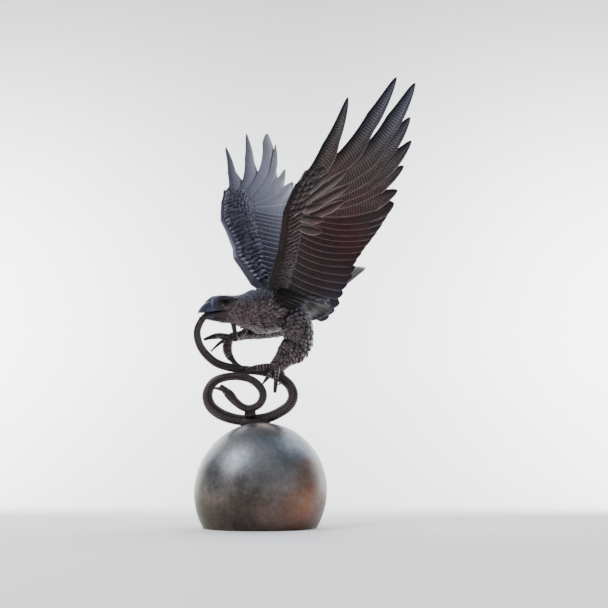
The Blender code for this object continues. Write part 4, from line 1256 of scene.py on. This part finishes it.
def ballBronze():
    # rubbed, spotted metal: blue-grey above as a painted sky reflection, brown below, with
    # copper-coloured patches
    material, tree, shader = newMaterial("ballBronze")
    coords = addNode(tree, "ShaderNodeTexCoord", (-1800, 0)).outputs["Object"]
    parts = addNode(tree, "ShaderNodeSeparateXYZ", (-1600, 300))
    tree.links.new(coords, parts.inputs["Vector"])
    cloud = noiseOf(tree, coords, ball["cloud"], 5.0, (-1400, 100))
    speck = noiseOf(tree, coords, ball["speck"], 8.0, (-1400, -150))
    scratch = noiseOf(tree, coords, ball["scratch"], 6.0, (-1200, -400), (9.0, 9.0, 1.0))
    brown = ramp(tree, cloud, ball["brown"], (-1000, 300))
    grey = ramp(tree, cloud, ball["grey"], (-1000, 0))
    # the painted sky reflection takes over from the brown above this height
    level = swayed(tree, parts.outputs["Z"], cloud, 0.28, (-800, 500))
    low, high = ball["skyReflectionFrom"]
    height = greyRamp(tree, level, (low, 0.0), (high, 1.0), (-650, 500))
    base = mixColour(tree, height, brown, grey, (-400, 200))
    for centre, size, colour in ball["patches"]:
        gap = addNode(tree, "ShaderNodeVectorMath", (-900, -300), operation="DISTANCE")
        tree.links.new(coords, gap.inputs[0])
        gap.inputs[1].default_value = centre
        ragged = swayed(tree, gap.outputs["Value"], cloud, 0.35, (-700, -400))
        inside = greyRamp(tree, ragged, (0.0, 0.80), (size, 0.0), (-550, -400))
        base = mixColour(tree, inside, base, colour, (-200, 0))
    spots = greyRamp(tree, speck, (0.34, 0.45), (0.56, 1.0), (-600, -650))
    base = mixColour(tree, ball["speckShare"], base, spots, (0, 100), "MULTIPLY")
    finishMetal(tree, shader, base, scratch, ball)
    return material


def buildBall():
    low = math.acos(-ball["seat"] / ball["radius"])
    polar = np.linspace(0.004, 1.0, ball["rows"]) * low
    ring = ballRings(polar, ball["around"], ball["radius"])
    ring[..., 2] = np.maximum(ring[..., 2] + ball["seat"], 0.0)
    bag = newBag()
    addTube(bag, ring, (0.4, 0.4, 0.4))
    showPiece(meshFrom(bag, "bronzeBall"), "bronzeBall", "ball", ballBronze(), 40.0)


buildBall()
print("ball ready")

studio = {
    "floor": (0.93, 0.93, 0.93), "floorRough": 0.75, "front": -7.0, "back": 3.2, "bend": 1.6,
    "wall": 8.5, "half": 8.0, "world": (0.90, 0.94, 1.0), "worldStrength": 0.48,
}
# place, aim, size, power and colour; the two washes light the wall alone
lights = {
    "key": ((-2.8, -2.2, 3.4), (0.05, 0.0, 0.9), 2.4, 175.0, (0.95, 0.97, 1.0)),
    "sky": ((2.2, 1.4, 4.2), (0.1, 0.1, 1.2), 3.4, 75.0, (0.84, 0.90, 1.0)),
    "fill": ((3.0, -2.6, 1.0), (0.0, 0.0, 0.8), 1.2, 8.0, (1.0, 0.93, 0.86)),
    "washLeft": ((-4.5, 0.9, 2.4), (-4.5, 4.8, 2.4), 2.4, 900.0, (1.0, 1.0, 1.0)),
    "washRight": ((4.5, 0.9, 2.4), (4.5, 4.8, 2.4), 2.4, 900.0, (1.0, 1.0, 1.0)),
}
view = {"place": (0.15635, -2.31141, 0.13012), "tilt": 16.98, "lens": 36.0, "sensor": 36.0}


def addLight(name, place, aim, size, power, colour):
    data = bpy.data.lights.new(name, "AREA")
    data.shape = "DISK"
    data.size = size
    data.energy = power
    data.color = colour
    lamp = bpy.data.objects.new(name, data)
    lamp.location = place
    lamp.rotation_euler = (Vector(aim) - Vector(place)).to_track_quat("-Z", "Y").to_euler()
    bpy.context.scene.collection.objects.link(lamp)


def buildStudio():
    # a floor that runs up into a plain wall behind
    turns = np.linspace(0, np.pi / 2, 16)
    back, bend = studio["back"], studio["bend"]
    deep = np.concatenate([[studio["front"]], back + bend * np.sin(turns), [back + bend]])
    high = np.concatenate([[0.0], bend - bend * np.cos(turns), [studio["wall"]]])
    half = studio["half"]
    points = [(x, y, z) for y, z in zip(deep, high) for x in (-half, half)]
    faces = [(2 * i, 2 * i + 1, 2 * i + 3, 2 * i + 2) for i in range(len(deep) - 1)]
    mesh = bpy.data.meshes.new("studioFloor")
    mesh.from_pydata(points, [], faces)
    mesh.shade_smooth()
    material, tree, shader = newMaterial("paleFloor")
    shader.inputs["Base Color"].default_value = (*studio["floor"], 1.0)
    shader.inputs["Roughness"].default_value = studio["floorRough"]
    mesh.materials.append(material)
    floor = bpy.data.objects.new("studioFloor", mesh)
    bpy.context.scene.collection.objects.link(floor)
    for name, light in lights.items():
        addLight(name, *light)
    world = bpy.data.worlds.new("studioWorld")
    world.use_nodes = True
    sky = world.node_tree.nodes["Background"]
    sky.inputs["Color"].default_value = (*studio["world"], 1.0)
    sky.inputs["Strength"].default_value = studio["worldStrength"]
    bpy.context.scene.world = world


def addCamera():
    data = bpy.data.cameras.new("photoCamera")
    data.lens = view["lens"]
    data.sensor_width = view["sensor"]
    camera = bpy.data.objects.new("photoCamera", data)
    camera.location = view["place"]
    camera.rotation_euler = (math.radians(90 + view["tilt"]), 0.0, 0.0)
    bpy.context.scene.collection.objects.link(camera)
    bpy.context.scene.camera = camera


buildStudio()
addCamera()
print("studio ready")
